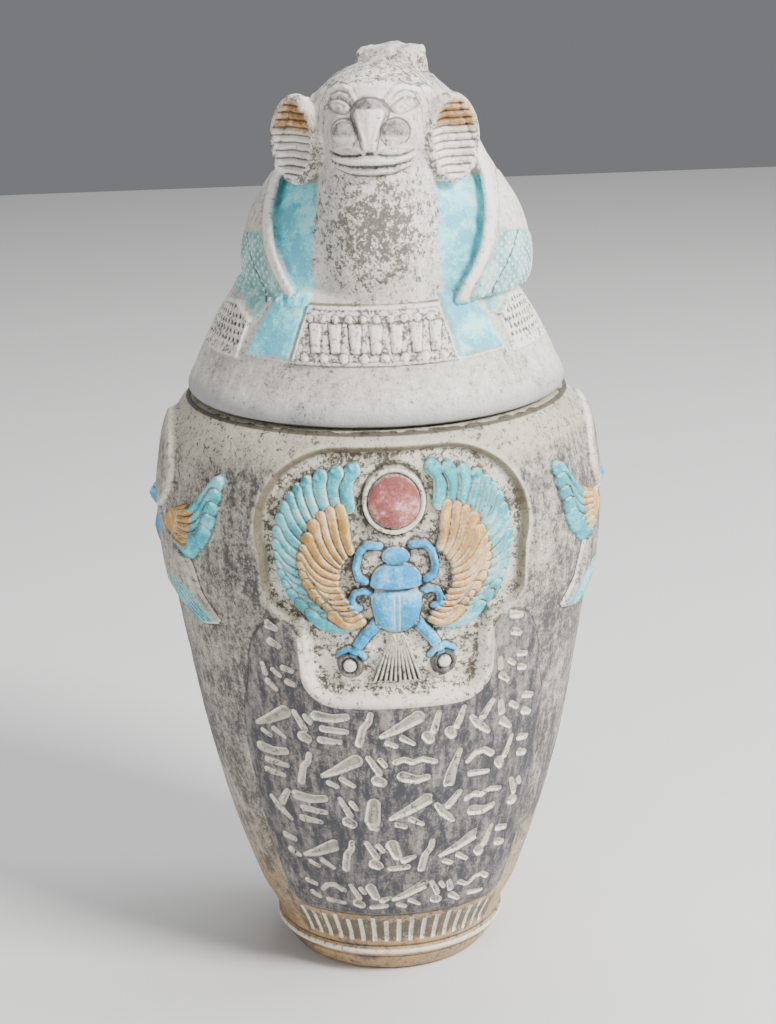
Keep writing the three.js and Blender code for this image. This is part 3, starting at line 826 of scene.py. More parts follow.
    def build(self, finish: "StoneFinish") -> bpy.types.Object:
        """Make the jar's mesh, thin its faces, mark its paint and dress it.

        Each wall point stands at the wall's radius plus the carving's height plus the stone's own
        roughness, at the angle of its column. Rows under the foot and down the hollow follow.

        Args:
            finish: The stone and its paints.

        Returns:
            The finished jar.
        """
        arcs, rows = self.columns(), self.heights()
        grid_x, grid_z = np.meshgrid(arcs, rows)
        relief = self.relief(grid_x.ravel(), grid_z.ravel())
        height = relief.height.reshape(grid_x.shape)
        angle = grid_x / ARC_RADIUS
        radius = through(JAR_WALL, rows)[:, None] + height
        wall = np.stack([radius * np.sin(angle), -radius * np.cos(angle), grid_z], -1).reshape(-1, 3)
        grain = rough(wall, 34, 2, 3) * 0.45 + rough(wall, 5.0, 3, 17) * 0.13
        grain = grain.reshape(height.shape) * smooth(0.5, 3, grid_z) * (1 - smooth(176.6, 178.2, grid_z))
        radius = radius + grain
        low = np.linspace(0, 1, 8)[1:-1]
        inner_z, inner_r = self.inner_rows()
        base = np.concatenate([low * 28, np.zeros(len(rows)), inner_r])
        level = np.concatenate([low * 0, rows, inner_z])
        full = np.repeat(base[:, None], len(arcs), 1)
        full[len(low):len(low) + len(rows)] = radius
        turn = np.repeat((arcs / ARC_RADIUS)[None, :], len(base), 0)
        lift = np.repeat(level[:, None], len(arcs), 1)
        points = np.stack([full * np.sin(turn), -full * np.cos(turn), lift], -1)
        piece = closed_grid("canopic_jar", points, np.array([0, 0, 0.0]), np.array([0, 0, 12.0]))
        piece = thinned(piece, self.face_limit)
        self.mark(piece, relief, arcs, rows, height)
        dress(piece, finish.material("jar_stone"))
        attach(piece, "root")
        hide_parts("jar")
        return piece

    def mark(self, piece: bpy.types.Object, relief: Relief, arcs: Array, rows: Array, height: Array) -> None:
        """Give every outer vertex the marks of the wall there, read between the grid's points.

        Args:
            piece: The jar.
            relief: The carving on the grid.
            arcs: The grid's columns.
            rows: The grid's rows.
            height: The carving's height on the grid.
        """
        points = vertices(piece)
        arc_at = np.arctan2(points[:, 0], -points[:, 1]) * ARC_RADIUS
        outside = np.abs(np.hypot(points[:, 0], points[:, 1]) - through(JAR_WALL, points[:, 2])) < 5.2
        column = np.interp(arc_at, arcs, np.arange(len(arcs)))
        row = np.interp(points[:, 2], rows, np.arange(len(rows)))
        i, j = np.clip(row.astype(int), 0, len(rows) - 2), np.clip(column.astype(int), 0, len(arcs) - 2)
        u, v = np.clip(row - i, 0, 1), np.clip(column - j, 0, 1)
        weights = [(0, 0, (1 - u) * (1 - v)), (1, 0, u * (1 - v)), (0, 1, (1 - u) * v), (1, 1, u * v)]
        around = height
        for axis, reach in ((0, 5), (1, 5), (0, 5), (1, 5)):
            around = sum(np.roll(around, step, axis) for step in range(-reach, reach + 1)) / (2 * reach + 1)
        layers = {mark: layer.reshape(height.shape) for mark, layer in relief.marks.items()}
        layers[Mark.HOLLOW] = height - around
        for mark, layer in layers.items():
            value = sum(layer[i + di, j + dj] * weight for di, dj, weight in weights)
            nothing = 0.0 if mark is Mark.HOLLOW else -Relief.MARK_REACH
            set_mark(piece, mark, np.where(outside, value, nothing))


# ---- Meshes ----


def closed_grid(name: str, points: Array, first: Array, last: Array) -> bpy.types.Object:
    """A mesh from rings of points, joined round, with a pole at each end.

    Args:
        name: The piece's name.
        points: Rings from the bottom of the outside to the end of the inside, in millimetres.
        first: The pole before the first ring.
        last: The pole after the last ring.

    Returns:
        The object, with faces that look outwards.
    """
    rings, around = points.shape[:2]
    body = np.arange(rings * around).reshape(rings, around) + 1
    beside = np.roll(body, -1, axis=1)
    quads = np.stack([body[:-1], beside[:-1], beside[1:], body[1:]], -1).reshape(-1, 4)
    end = rings * around + 1
    under = np.stack([np.zeros(around, int), beside[0], body[0]], -1)
    over = np.stack([np.full(around, end), body[-1], beside[-1]], -1)
    everything = np.concatenate([first[None], points.reshape(-1, 3), last[None]])
    faces = [*quads.tolist(), *under.tolist(), *over.tolist()]
    return meshed(name, everything, faces)


def meshed(name: str, points: Array, faces: list[list[int]]) -> bpy.types.Object:
    """An object from points in millimetres and faces, shaded smooth, at the origin."""
    mesh = bpy.data.meshes.new(name)
    mesh.from_pydata((points * MM).tolist(), [], faces)
    mesh.update()
    piece = bpy.data.objects.new(name, mesh)
    bpy.context.scene.collection.objects.link(piece)
    return piece


def applied(piece: bpy.types.Object) -> bpy.types.Object:
    """The piece with its modifiers made part of its mesh."""
    graph = bpy.context.evaluated_depsgraph_get()
    mesh = bpy.data.meshes.new_from_object(piece.evaluated_get(graph))
    old = piece.data
    piece.modifiers.clear()
    piece.data = mesh
    bpy.data.meshes.remove(old)
    mesh.name = piece.name
    return piece


def thinned(piece: bpy.types.Object, limit: int) -> bpy.types.Object:
    """The piece with its triangles merged where the surface is smooth, down to a limit."""
    corners = len(piece.data.loops)
    triangles = corners - 2 * len(piece.data.polygons)
    if triangles > limit:
        thinner = piece.modifiers.new("thin", "DECIMATE")
        thinner.ratio = limit / triangles
        piece = applied(piece)
    piece.data.polygons.foreach_set("use_smooth", np.ones(len(piece.data.polygons), bool))
    return piece


def vertices(piece: bpy.types.Object) -> Array:
    """A piece's vertices in millimetres, one row of three each."""
    flat = np.empty(len(piece.data.vertices) * 3, np.float32)
    piece.data.vertices.foreach_get("co", flat)
    return flat.reshape(-1, 3).astype(float) / MM


def set_mark(piece: bpy.types.Object, mark: Mark, value: Array) -> None:
    """Store one number for each vertex under a mark's name."""
    layer = piece.data.attributes.new(mark.value, "FLOAT", "POINT")
    layer.data.foreach_set("value", value.astype(np.float32))


def dress(piece: bpy.types.Object, material: bpy.types.Material) -> None:
    """Give a piece its only material."""
    piece.data.materials.clear()
    piece.data.materials.append(material)


# ---- The lid ----

LID_DOME: list[Point] = [
    (179.3, 52.6), (179.8, 54.4), (180.7, 55.7), (182, 56.1), (187.5, 53.9), (195, 50.4), (202, 46.7),
    (208, 42.8), (213, 39), (216, 34), (218, 26),
]
MANTLE: list[Point] = [
    (210.8, 38.5), (211.4, 41), (213.4, 42.2), (219, 42.7), (226, 41.6), (233, 39.3), (239, 36),
    (247, 30.5), (257, 25), (266, 19.5), (270, 15),
]
OPENING: list[Point] = [
    (209, 22.5), (213, 23), (219, 26.5), (226, 29.5), (234, 30.5), (243, 29), (252, 25), (262, 21),
    (272, 19),
]
NECK_WIDTH: list[Point] = [
    (203, 22), (209, 20), (216, 19.2), (230, 18.6), (243, 17.4), (251, 15.4), (258, 12),
]
NECK_DEPTH: list[Point] = [
    (203, 20), (209, 23), (214, 24.4), (230, 25), (243, 24.6), (251, 22.5), (258, 17),
]


def merge(a: Array, b: Array, soft: float) -> Array:
    """Two bodies as one, with a fillet: the lesser distance, less soft * h(1 - h) where they meet."""
    share = np.clip(0.5 + 0.5 * (b - a) / soft, 0, 1)
    return b + (a - b) * share - soft * share * (1 - share)


def minus(a: Array, b: Array, soft: float) -> Array:
    """One body with another cut out of it, with a rounded edge."""
    return -merge(-a, b, soft)


def ellipsoid(points: Array, centre: Sequence[float], size: Sequence[float], tip: float = 0.0) -> Array:
    """Roughly the distance to an ellipsoid: k(k - 1) / |p / size^2|, k being |p / size|.

    Args:
        points: The places.
        centre: Its middle.
        size: Its half sizes.
        tip: Degrees that its top leans back.

    Returns:
        The distance, negative inside.
    """
    x, y, z = (points - np.array(centre)).T
    c, s = math.cos(math.radians(tip)), math.sin(math.radians(tip))
    place = np.stack([x, y * c - z * s, y * s + z * c], 1)
    far = np.linalg.norm(place / size, axis=1)
    slope = np.linalg.norm(place / np.square(size), axis=1) + 1e-9
    return far * (far - 1) / slope


def turned(points: Array, stations: Sequence[Point], squash: float = 1.0) -> Array:
    """Roughly the distance to a turned body: beyond its radius or beyond its ends.

    Args:
        points: The places.
        stations: Heights and radii.
        squash: How much longer the body is along y than along x.

    Returns:
        The distance, negative inside.
    """
    z = points[:, 2]
    out = np.hypot(points[:, 0], points[:, 1] / squash)
    radius = through(stations, z)
    slope = through(stations, z + 0.4) - through(stations, z - 0.4)
    side = (out - radius) / np.sqrt(1 + (slope / 0.8) ** 2)
    return np.maximum(side, np.maximum(stations[0][0] - z, z - stations[-1][0]))


def spun(points: Array, turn: float) -> Array:
    """The points turned about the z axis by some degrees."""
    c, s = math.cos(math.radians(turn)), math.sin(math.radians(turn))
    x, y, z = points.T
    return np.stack([x * c - y * s, x * s + y * c, z], 1)


@dataclass
class Lid:
    """The lid: a dome with the baboon's mantle, neck, head and ears standing on it."""

    carving_turn: float = -9.0
    carving_shift: float = 4.0
    dress_turn: float = -4.0
    plug_radius: float = 42.6
    plug_foot: float = 172.0
    cell: float = 0.95
    face_limit: int = 194000
    ear_place: tuple[float, float, float] = (22.0, -25.0, 256.0)
    ear_shift: float = -0.6
    ear_size: tuple[float, float, float] = (8.6, 5.0, 12.6)
    ear_turn: float = 33.0

    def baboon(self, points: Array) -> Array:
        """The points as the baboon's own frame has them: untilted and brought back to the axis."""
        return spun(points - np.array([self.carving_shift, 0, 0]), -self.carving_turn)

    def in_ear(self, own: Array, side: int) -> Array:
        """Points of the baboon's frame as one ear's own frame has them, its front towards -y."""
        x, y, z = self.ear_place
        return spun(own - np.array([side * x + self.ear_shift, y, z]), -side * self.ear_turn)

    def body(self, points: Array) -> Array:
        """The lid's broad form as a distance, negative inside: all its parts, merged with fillets.

        Args:
            points: The places in millimetres.

        Returns:
            The distance from each place to the lid.
        """
        own = self.baboon(points)
        x, y, z = own.T
        dome = turned(points, LID_DOME)
        foot = self.plug_foot
        plug = turned(points, [
            (foot, self.plug_radius - 1), (foot + 0.8, self.plug_radius),
            (JOINT_HEIGHT + 2, self.plug_radius),
        ])
        whole = np.minimum(dome, plug)
        half = through(OPENING, z)
        gap = np.maximum(np.abs(x) - half, y + 9)
        cape = minus(turned(own, MANTLE), gap, 1.2)
        under = turned(own, [(height, radius - 4.6) for height, radius in MANTLE])
        whole = merge(whole, merge(cape, under, 1.4), 0.6)
        neck = self.column(own)
        whole = merge(whole, neck, 1.4)
        skull = ellipsoid(own, (0, -11, 257), (18.2, 27.5, 17.8))
        skull = merge(skull, ellipsoid(own, (0, -17, 263.4), (17.6, 19.5, 12.4)), 5.0)
        muzzle = ellipsoid(own, (0, -30.5, 257.6), (13.2, 15.4, 10.6))
        muzzle = merge(muzzle, ellipsoid(own, (0, -36, 252.6), (11.6, 9.2, 4.6)), 2.5)
        head = merge(skull, muzzle, 4.0)
        for side in (-1, 1):
            head = merge(head, ellipsoid(own, (side * 7.0, -38.6, 260), (4.4, 5.4, 4.4)), 1.2)
        nose = ellipsoid(own, (0, -38.6, 262.4), (5.4, 6.4, 7.6), 22)
        head = merge(head, nose, 1.2)
        whole = merge(whole, head, 2.4)
        for side in (-1, 1):
            place = self.in_ear(own, side)
            wide, deep, tall = self.ear_size
            cup = ellipsoid(place, (0, 0.6, 0), (wide + 0.3, deep + 0.8, tall + 0.3))
            cup = np.maximum(cup, -1.9 - place[:, 1])
            hollow = ellipsoid(place, (0, -4.2, 0), (wide - 1.5, deep, tall - 1.5))
            root = ellipsoid(own, (side * 18.6 + self.ear_shift, -18, 256), (5.5, 8.5, 10))
            whole = minus(merge(whole, merge(cup, root, 2.0), 1.6), hollow, 0.5)
        stub = own - np.array([2.6, 3, 0])
        knob = turned(stub, [(264, 11), (271, 11.2), (275, 10.6), (277.6, 9.6), (279, 8), (279.7, 5)], 0.86)
        lumps = 0.9 * lattice_noise(*(stub.T / 5.2), 3) + 0.4 * lattice_noise(*(stub.T / 1.9), 4)
        return merge(whole, knob + (lumps + 0.3) * smooth(268, 272, z), 2.4)

    def column(self, own: Array) -> Array:
        """The neck: a column of rounded oblong section, deeper than wide, inside the dome at its foot.

        Args:
            own: The places in the baboon's frame.

        Returns:
            The distance, negative inside.
        """
        x, y, z = own.T
        half, deep = through(NECK_WIDTH, z), through(NECK_DEPTH, z)
        power = 2.5
        out = ((np.abs(x) / half) ** power + (np.abs(y + 16.4) / deep) ** power) ** (1 / power)
        return np.maximum((out - 1) * half, np.maximum(NECK_WIDTH[0][0] - z, z - NECK_WIDTH[-1][0]))

    def face(self, relief: Relief, front: Array) -> None:
        """The face's low carving, drawn from the front: eyes, brows, nose, cheeks, lips, cap's edge.

        Args:
            relief: The face laid flat, x to the right and z up.
            front: How far each point faces the front, 0 to 1.
        """
        x, z = np.abs(relief.x), relief.z
        part = Window(relief, np.arange(len(x)))
        seen = np.where(front > 0.05, 0.0, -9.0)
        eye = 1 - np.hypot((x - 9.0) / 3.6, (z - 266.3 - 0.08 * (x - 9.0)) / 1.7)
        relief.height += 0.5 * smooth(0, 0.5, eye) * front
        relief.height -= 0.45 * smooth(0.22, 0, np.abs(eye - 0.02)) * front
        relief.height -= 0.35 * smooth(0.3, 0, np.abs(eye - 0.62)) * front
        # Painted shade: dark lines in the face's grooves, round the eyes, brows, nose and cheeks and along
        # the mouth, marked here and below.
        part.mark(Mark.SEAM, (0.1 - np.abs(eye - 0.02)) * 1.6 + seen)
        brow = along(x, z, [
            (4.6, 268.2), (6.4, 270.6), (9.4, 271.3), (12.4, 269.6), (14.4, 265.6), (14.9, 258.5),
        ], 0.7, 0.4)
        fold = along(x, z, [
            (5.4, 267.4), (7.2, 269), (9.6, 269.5), (12, 268.2), (13.2, 265.8),
        ], 0.4, 0.3)
        for line, rise in ((brow, 0.55), (fold, 0.4)):
            relief.height += rise * smooth(-0.3, 0.6, line) * front
            part.mark(Mark.SEAM, np.minimum(0.16 - np.abs(line + 0.45), 0.4) + seen)
        nose = inside(x, z, [
            (-1, 269.4), (1.6, 269.1), (3.8, 268), (5.3, 265.9), (5.1, 264.2), (3.9, 261.6),
            (2.6, 258.6), (1.9, 255.2), (-1, 255),
        ])
        relief.height += 0.8 * smooth(-0.2, 0.9, nose) * front
        lines = along(x, z, [(3.4, 265.9), (2.5, 262), (1.5, 258.2), (1.0, 255.4)], 0.55, 0.45)
        bridge = along(x, z, [(0, 266.2), (0, 257.6)], 0.6, 0.3)
        pale = np.maximum(lines, bridge)
        relief.height += 0.3 * smooth(-0.2, 0.5, pale) * front
        part.mark(Mark.SLATE, np.minimum(np.minimum(nose, 1.5), z - 258) + seen)
        part.clear(Mark.SLATE, np.minimum(nose - 1.1, 266.6 - z))
        part.mark(Mark.CREST, pale + seen - 0.1)
        part.mark(Mark.SEAM, 0.26 - np.abs(nose + 0.12) + seen)
        cheek = (1 - np.hypot((x - 7.0) / 3.9, (z - 260) / 3.8)) * 3.8
        relief.height += 0.5 * smooth(0, 1.6, cheek) * front
        relief.height -= 0.4 * smooth(0.5, 0, np.abs(cheek + 0.2)) * front * smooth(3, 4.5, x)
        # Painted shade: dark slate on the upper half of each cheek.
        part.mark(Mark.SLATE, np.minimum(np.minimum(cheek, 0.9), (z - 258.4) * 0.4) - 0.35 + seen)
        part.mark(Mark.SEAM, np.minimum(0.24 - np.abs(cheek), z - 257) + seen)
        fringe = along(x, z, [(1.6, 254.6), (3.2, 256.2), (6, 256.6), (10.6, 255.6)], 0.75, 0.4)
        upper = along(x, z, [(0, 254.5), (2, 254.5), (3.6, 254), (8, 253.7), (11.6, 254.4)], 0.5, 0.35)
        parting = along(x, z, [(0, 250.6), (6, 250.7), (10.2, 251.4), (11.4, 252.2)], 0.62, 0.25)
        below = along(x, z, [(0, 247.8), (6, 248.2), (10.4, 249.8)], 0.35, 0.25)
        for line, depth in ((upper, 0.8), (parting, 1.1), (below, 0.4)):
            relief.height -= depth * smooth(-0.35, 0.5, line) * front
            part.mark(Mark.SEAM, line + seen)
        lip = np.minimum(along(x, z, [(0, 252.4), (6, 252.4), (10.8, 253.1)], 1.2, 0.6), -parting - 0.1)
        lower = np.minimum(along(x, z, [(0, 249.3), (6, 249.5), (10.2, 250.6)], 0.9, 0.4), -parting - 0.1)
        band = np.maximum(np.maximum(lip, lower), fringe)
        relief.height += 0.45 * smooth(-0.2, 0.6, band) * front
        part.mark(Mark.CREST, band + seen - 0.25)
        edge = 271.8 - 0.0115 * np.minimum(x, 21) ** 2
        line = 0.7 - np.abs(z - edge)
        relief.height += 0.4 * smooth(-0.2, 0.6, line) * smooth(0, 0.3, front)
        part.mark(Mark.CREAM, line + np.where(front > 0.02, 0.0, -9.0))

    def dressing(self, relief: Relief) -> None:
        """The dress on the dome, laid flat in arc and height: collar, lappets and side panels.

        Args:
            relief: The dome with x as the arc at its own radius, from the front.
        """
        radius = through(LID_DOME, relief.z)
        turn = np.degrees(relief.x / radius)
        part = Window(relief, np.arange(len(turn)))
        per_degree = radius * math.pi / 180
        x, z = relief.x, relief.z
        half = 28 - 1.5 * (z - 196.6) / 14.8
        collar = np.minimum((half - np.abs(turn)) * per_degree, np.minimum(z - 196.4, 211.6 - z))
        relief.height += 1.0 * smooth(-0.2, 0.6, collar)
        border = np.minimum(collar, 0.95 - collar)
        rule = np.minimum(collar, 0.4 - np.abs(z - 209.5))
        relief.height += 0.45 * smooth(-0.2, 0.4, np.maximum(border, rule))
        part.mark(Mark.CREAM, np.maximum(border, rule))
        part.mark(Mark.SMOKE, np.minimum(collar - 0.8, 0.5))
        # Painted shade: dark lines round the collar's edges and at the feet of its petals and beads; the sunk
        # dots on the side panels are darkened the same way.
        inner_edge = np.minimum(0.16 - np.abs(collar - 1.15), collar)
        part.mark(Mark.SEAM, np.maximum(0.2 - np.abs(collar + 0.25), inner_edge))
        fall = (z - 203.2) * 0.09
        petals = (x - 0.4) / 5.6
        petal = np.abs(petals - np.round(petals)) * 5.6
        shape = np.minimum(1.45 + fall - petal, np.minimum(z - 199.8, 207.1 - z))
        shape = np.minimum(shape, 3.4 * 5.6 - np.abs(x - 0.4))
        relief.height += 0.75 * smooth(-0.2, 0.5, shape)
        relief.height -= 0.35 * smooth(0.5, -0.3, np.abs(shape + 0.3)) * (collar > 0.9)
        part.mark(Mark.CREST, shape - 0.1)
        part.mark(Mark.SEAM, np.minimum(0.24 - np.abs(shape + 0.3), collar - 0.8))
        for level, step, size, offset in ((208.3, 3.75, 1.15, 0.2), (198.4, 5.6, 1.35, 0.5)):
            cell = x / step - offset
            bead = size - np.hypot((cell - np.round(cell)) * step, z - level)
            bead = np.minimum(bead, collar - 0.8)
            relief.height += 0.65 * smooth(-0.1, 0.9, bead)
            part.mark(Mark.CREST, bead - 0.25)
            part.mark(Mark.SEAM, np.minimum(0.2 - np.abs(bead + 0.15), collar - 0.8))
        hanging = [(28.6, 197), (47.5, 197.4), (46, 205), (42, 215), (27, 215)]
        lappet = np.maximum(inside(turn, z, hanging), inside(-turn, z, hanging)) * 0.9
        relief.height += 1.0 * smooth(-0.2, 0.9, lappet)
        part.mark(Mark.BLUE, lappet)
        part.mark(Mark.CREAM, 0.35 - np.abs(lappet + 0.35))
        beside = np.abs(turn)
        corners = [(51, 195.4), (80, 195.4), (80, 208.6), (66, 209.6), (52, 205.6)]
        panel = inside(beside, z, corners) * 0.85
        relief.height += 0.75 * smooth(-0.2, 0.7, panel)
        rim = np.minimum(panel, 0.8 - panel)
        band = np.minimum(panel, 0.3 - np.abs(z - 198.6))
        relief.height += 0.35 * smooth(-0.2, 0.4, np.maximum(rim, band))
        part.mark(Mark.CREAM, np.maximum(rim, band))
        part.mark(Mark.SMOKE, np.minimum(panel - 0.8, 0.0))
        across, up = beside * per_degree / 2.15, (z - 199.7) / 2.0
        dot = 0.62 - np.hypot((across - np.round(across)) * 2.15, (up - np.round(up)) * 2.0)
        dot = np.minimum(dot, np.minimum(panel - 1.0, z - 199.2))
        relief.height -= 0.45 * smooth(-0.2, 0.4, dot)
        part.mark(Mark.SEAM, dot)
        above = [(49, 206), (52, 206.6), (66, 210.4), (70, 212), (60, 214), (46, 214)]
        patch = inside(beside, z, above) * 0.85
        part.mark(Mark.TEAL, patch)

    def cloak(self, relief: Relief, own: Array, half: Array) -> None:
        """The mantle: a pale border beside the opening, and slanting rows of beads on each lobe.

        Args:
            relief: The mantle, point by point.
            own: The points in the baboon's frame.
            half: Half the opening's width at each point's height.
        """
        part = Window(relief, np.arange(len(relief.x)))
        x, y, z = own.T
        beside = np.abs(x) - half
        on_cape = np.minimum(np.hypot(x, y) - through(MANTLE, z) + 1.2, np.minimum(z - 210.6, 266 - z))
        border = np.minimum(np.minimum(beside + 0.6, 3.0 - beside), np.minimum(on_cape, 2 - y))
        relief.height += 0.4 * smooth(-0.2, 0.7, border)
        part.mark(Mark.CREAM, border)
        line = np.minimum(0.35 - np.abs(beside - 3.6), on_cape)
        relief.height -= 0.4 * smooth(-0.3, 0.4, line)
        turn = np.arctan2(np.abs(x), -y)
        reach = turn * 41
        lobe = np.minimum(beside - 4.0, 238 - z - 0.2 * reach)
        lobe = np.minimum(lobe, np.minimum(on_cape, 96 - reach))
        part.mark(Mark.TEAL, lobe)
        slant = (reach * 0.66 + z * 0.75) / 2.25
        along_row = (z * 0.66 - reach * 0.75) / 2.1
        shift = 0.5 * (np.round(slant) % 2)
        cell = along_row - shift
        bead = 0.82 - np.hypot((slant - np.round(slant)) * 2.25, (cell - np.round(cell)) * 2.1)
        bead = np.minimum(bead, lobe - 0.3)
        relief.height += 0.4 * smooth(-0.1, 0.6, bead)
        part.mark(Mark.CREST, bead - 0.28)
        # Painted shade: dark lines in the grooves beside the border and across the bead lobes.
        part.mark(Mark.SEAM, np.minimum(0.14 - np.abs(beside - 3.7), on_cape))
        seam = np.minimum(0.3 - np.abs(beside - 9.5), lobe)
        relief.height -= 0.35 * smooth(-0.2, 0.4, seam)
        part.mark(Mark.SEAM, seam)
        inner = np.minimum(np.minimum(-beside - 0.2, 4 - y), np.minimum(z - 210, 243 - z))
        part.mark(Mark.BLUE, np.minimum(inner, np.abs(x) - through(NECK_WIDTH, z) + 0.6))

    def ears(self, relief: Relief, own: Array) -> None:
        """Level ridges down each ear's dish, browner above than below, and its plain dark rim."""
        part = Window(relief, np.arange(len(relief.x)))
        for side in (-1, 1):
            place = self.in_ear(own, side)
            x, y, z = place.T
            dish = (1 - np.hypot(x / 6.9, z / 11.0)) * 8
            dish = np.where(y < 1.6, dish, -2)
            wave = np.cos(z * 2 * math.pi / 2.15 + 0.25 * np.sin(x * 0.9))
            relief.height += 0.42 * wave * smooth(0, 1.2, dish)
            part.mark(Mark.GOLD, np.minimum(dish, (z - 2.5) * 0.5))
            part.mark(Mark.CREAM, np.minimum(dish, 3.4 - z))
            # Painted shade: dark in the troughs between the dish's ridges.
            part.mark(Mark.SEAM, np.minimum(dish, (-0.5 - wave) * 0.5))
            rim = np.minimum(-dish - 0.1, (1 - np.hypot(x / 9.4, z / 13.4)) * 9)
            part.mark(Mark.SMOKE, np.minimum(np.minimum(rim, 1.6 - y), 0.6 - z * 0.15))

    def relief(self, points: Array) -> Relief:
        """All the lid's low carving at the given places.

        Args:
            points: The places in millimetres, near the surface.

        Returns:
            How far the carving lifts the surface there, and its marks.
        """
        own = self.baboon(points)
        x, y, z = own.T
        total = Relief(x, z)
        front = smooth(-20, -26, y) * smooth(244, 247, z) * smooth(19.5, 17, np.abs(x))
        low = np.nonzero(z > 244)[0]
        self.merge_in(total, low, lambda part: self.face(part, front[low]), x[low], z[low])
        half = through(OPENING, z)
        cape = np.nonzero((z > 209) & (z < 268))[0]
        self.merge_in(total, cape, lambda part: self.cloak(part, own[cape], half[cape]), x[cape], z[cape])
        ear = np.nonzero((z > 238) & (np.abs(x) > 12))[0]
        self.merge_in(total, ear, lambda part: self.ears(part, own[ear]), x[ear], z[ear])
        # The dark patch on the neck: partly a stain, partly painted shadow under the chin.
        stain_and_chin_shadow = 2.0 - 2.3 * np.hypot((x - 1) / 19, (z - 232) / 19)
        crown = np.minimum(z - 272.4 + 0.0115 * np.minimum(np.abs(x), 21) ** 2, 277 - z)
        stain_and_shade = np.maximum(np.where(y < -18, stain_and_chin_shadow, -2), np.minimum(crown, 0.4))
        total.marks[Mark.SMOKE] = np.maximum(total.marks[Mark.SMOKE], np.clip(stain_and_shade, -2, 2))
        # Painted shadow of the gap over the jar, round the lid's foot.
        total.marks[Mark.SEAM] = np.maximum(total.marks[Mark.SEAM], np.clip(180.3 - z, -2, 2))
        dome = spun(points, -self.dress_turn)
        radius = np.hypot(points[:, 0], points[:, 1])
        skin = np.abs(radius - through(LID_DOME, z)) < 2.6
        skirt = np.nonzero((z > 194) & (z < 214) & skin)[0]
        arcs = np.arctan2(dome[:, 0], -dome[:, 1]) * through(LID_DOME, z)
        self.merge_in(total, skirt, self.dressing, arcs[skirt], z[skirt])
        return total

    @staticmethod
    def merge_in(total: Relief, index: Array, draw: Callable[[Relief], None], x: Array, z: Array) -> None:
        """Draw on some of the points and put the result into the whole.

        Args:
            total: The whole relief.
            index: Which points.
            draw: What draws on them.
            x: Their x as the drawing takes it.
            z: Their z as the drawing takes it.
        """
        part = Relief(x, z)
        draw(part)
        total.height[index] += part.height
        for mark, layer in part.marks.items():
            total.marks[mark][index] = np.maximum(total.marks[mark][index], layer)

    def build(self, finish: "StoneFinish") -> bpy.types.Object:
        """Make the lid: a skin on its broad form, drawn on to the carved surface, marked and dressed.

        Args:
            finish: The stone and its paints.

        Returns:
            The finished lid.
        """
        low = np.array([-60.0, -60.0, 170.0])
        shape = tuple(int(side / self.cell) + 2 for side in (120, 120, 112))
        steps = [low[axis] + self.cell * np.arange(shape[axis]) for axis in range(3)]
        lattice = np.stack(np.meshgrid(*steps, indexing="ij"), -1).reshape(-1, 3)
        field_values = np.empty(len(lattice))
        for start in range(0, len(lattice), 400000):
            block = slice(start, start + 400000)
            field_values[block] = self.body(lattice[block])
        points, faces = skin_of(field_values.reshape(shape), low, self.cell)
        piece = meshed("baboon_lid", points, faces.tolist())
        finer = piece.modifiers.new("finer", "SUBSURF")
        finer.levels = finer.render_levels = 1
        piece = applied(piece)
        surface = self.drawn_on(vertices(piece))
        piece.data.vertices.foreach_set("co", (surface * MM).astype(np.float32).ravel())
        piece.data.update()
        piece = thinned(piece, self.face_limit)
        relief = self.relief(vertices(piece))
        for mark, layer in relief.marks.items():
            set_mark(piece, mark, relief.height * 0.7 - 0.1 if mark is Mark.HOLLOW else layer)
        dress(piece, finish.material("lid_stone"))
        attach(piece, "root")
        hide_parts("lid")
        return piece

    def drawn_on(self, points: Array) -> Array:
        """Points moved on to the carved surface, each along the form's slope there, in three goes.

        Args:
            points: Points near the broad form.

        Returns:
            Points on the form raised by its carving and its stone's roughness.
        """
        for _ in range(3):
            here = self.body(points)
            step = 0.12
            slope = np.stack([
                (self.body(points + step * axis) - self.body(points - step * axis)) / (2 * step)
                for axis in np.eye(3)
            ], 1)
            slope /= np.linalg.norm(slope, axis=1, keepdims=True) + 1e-9
            above = smooth(179.6, 181.5, points[:, 2])
            rise = self.relief(points).height
            rise = rise + (rough(points, 30, 2, 31) * 0.35 + rough(points, 4.5, 3, 37) * 0.12) * above
            points = points - slope * np.clip(here - rise, -1.5, 1.5)[:, None]
        return points


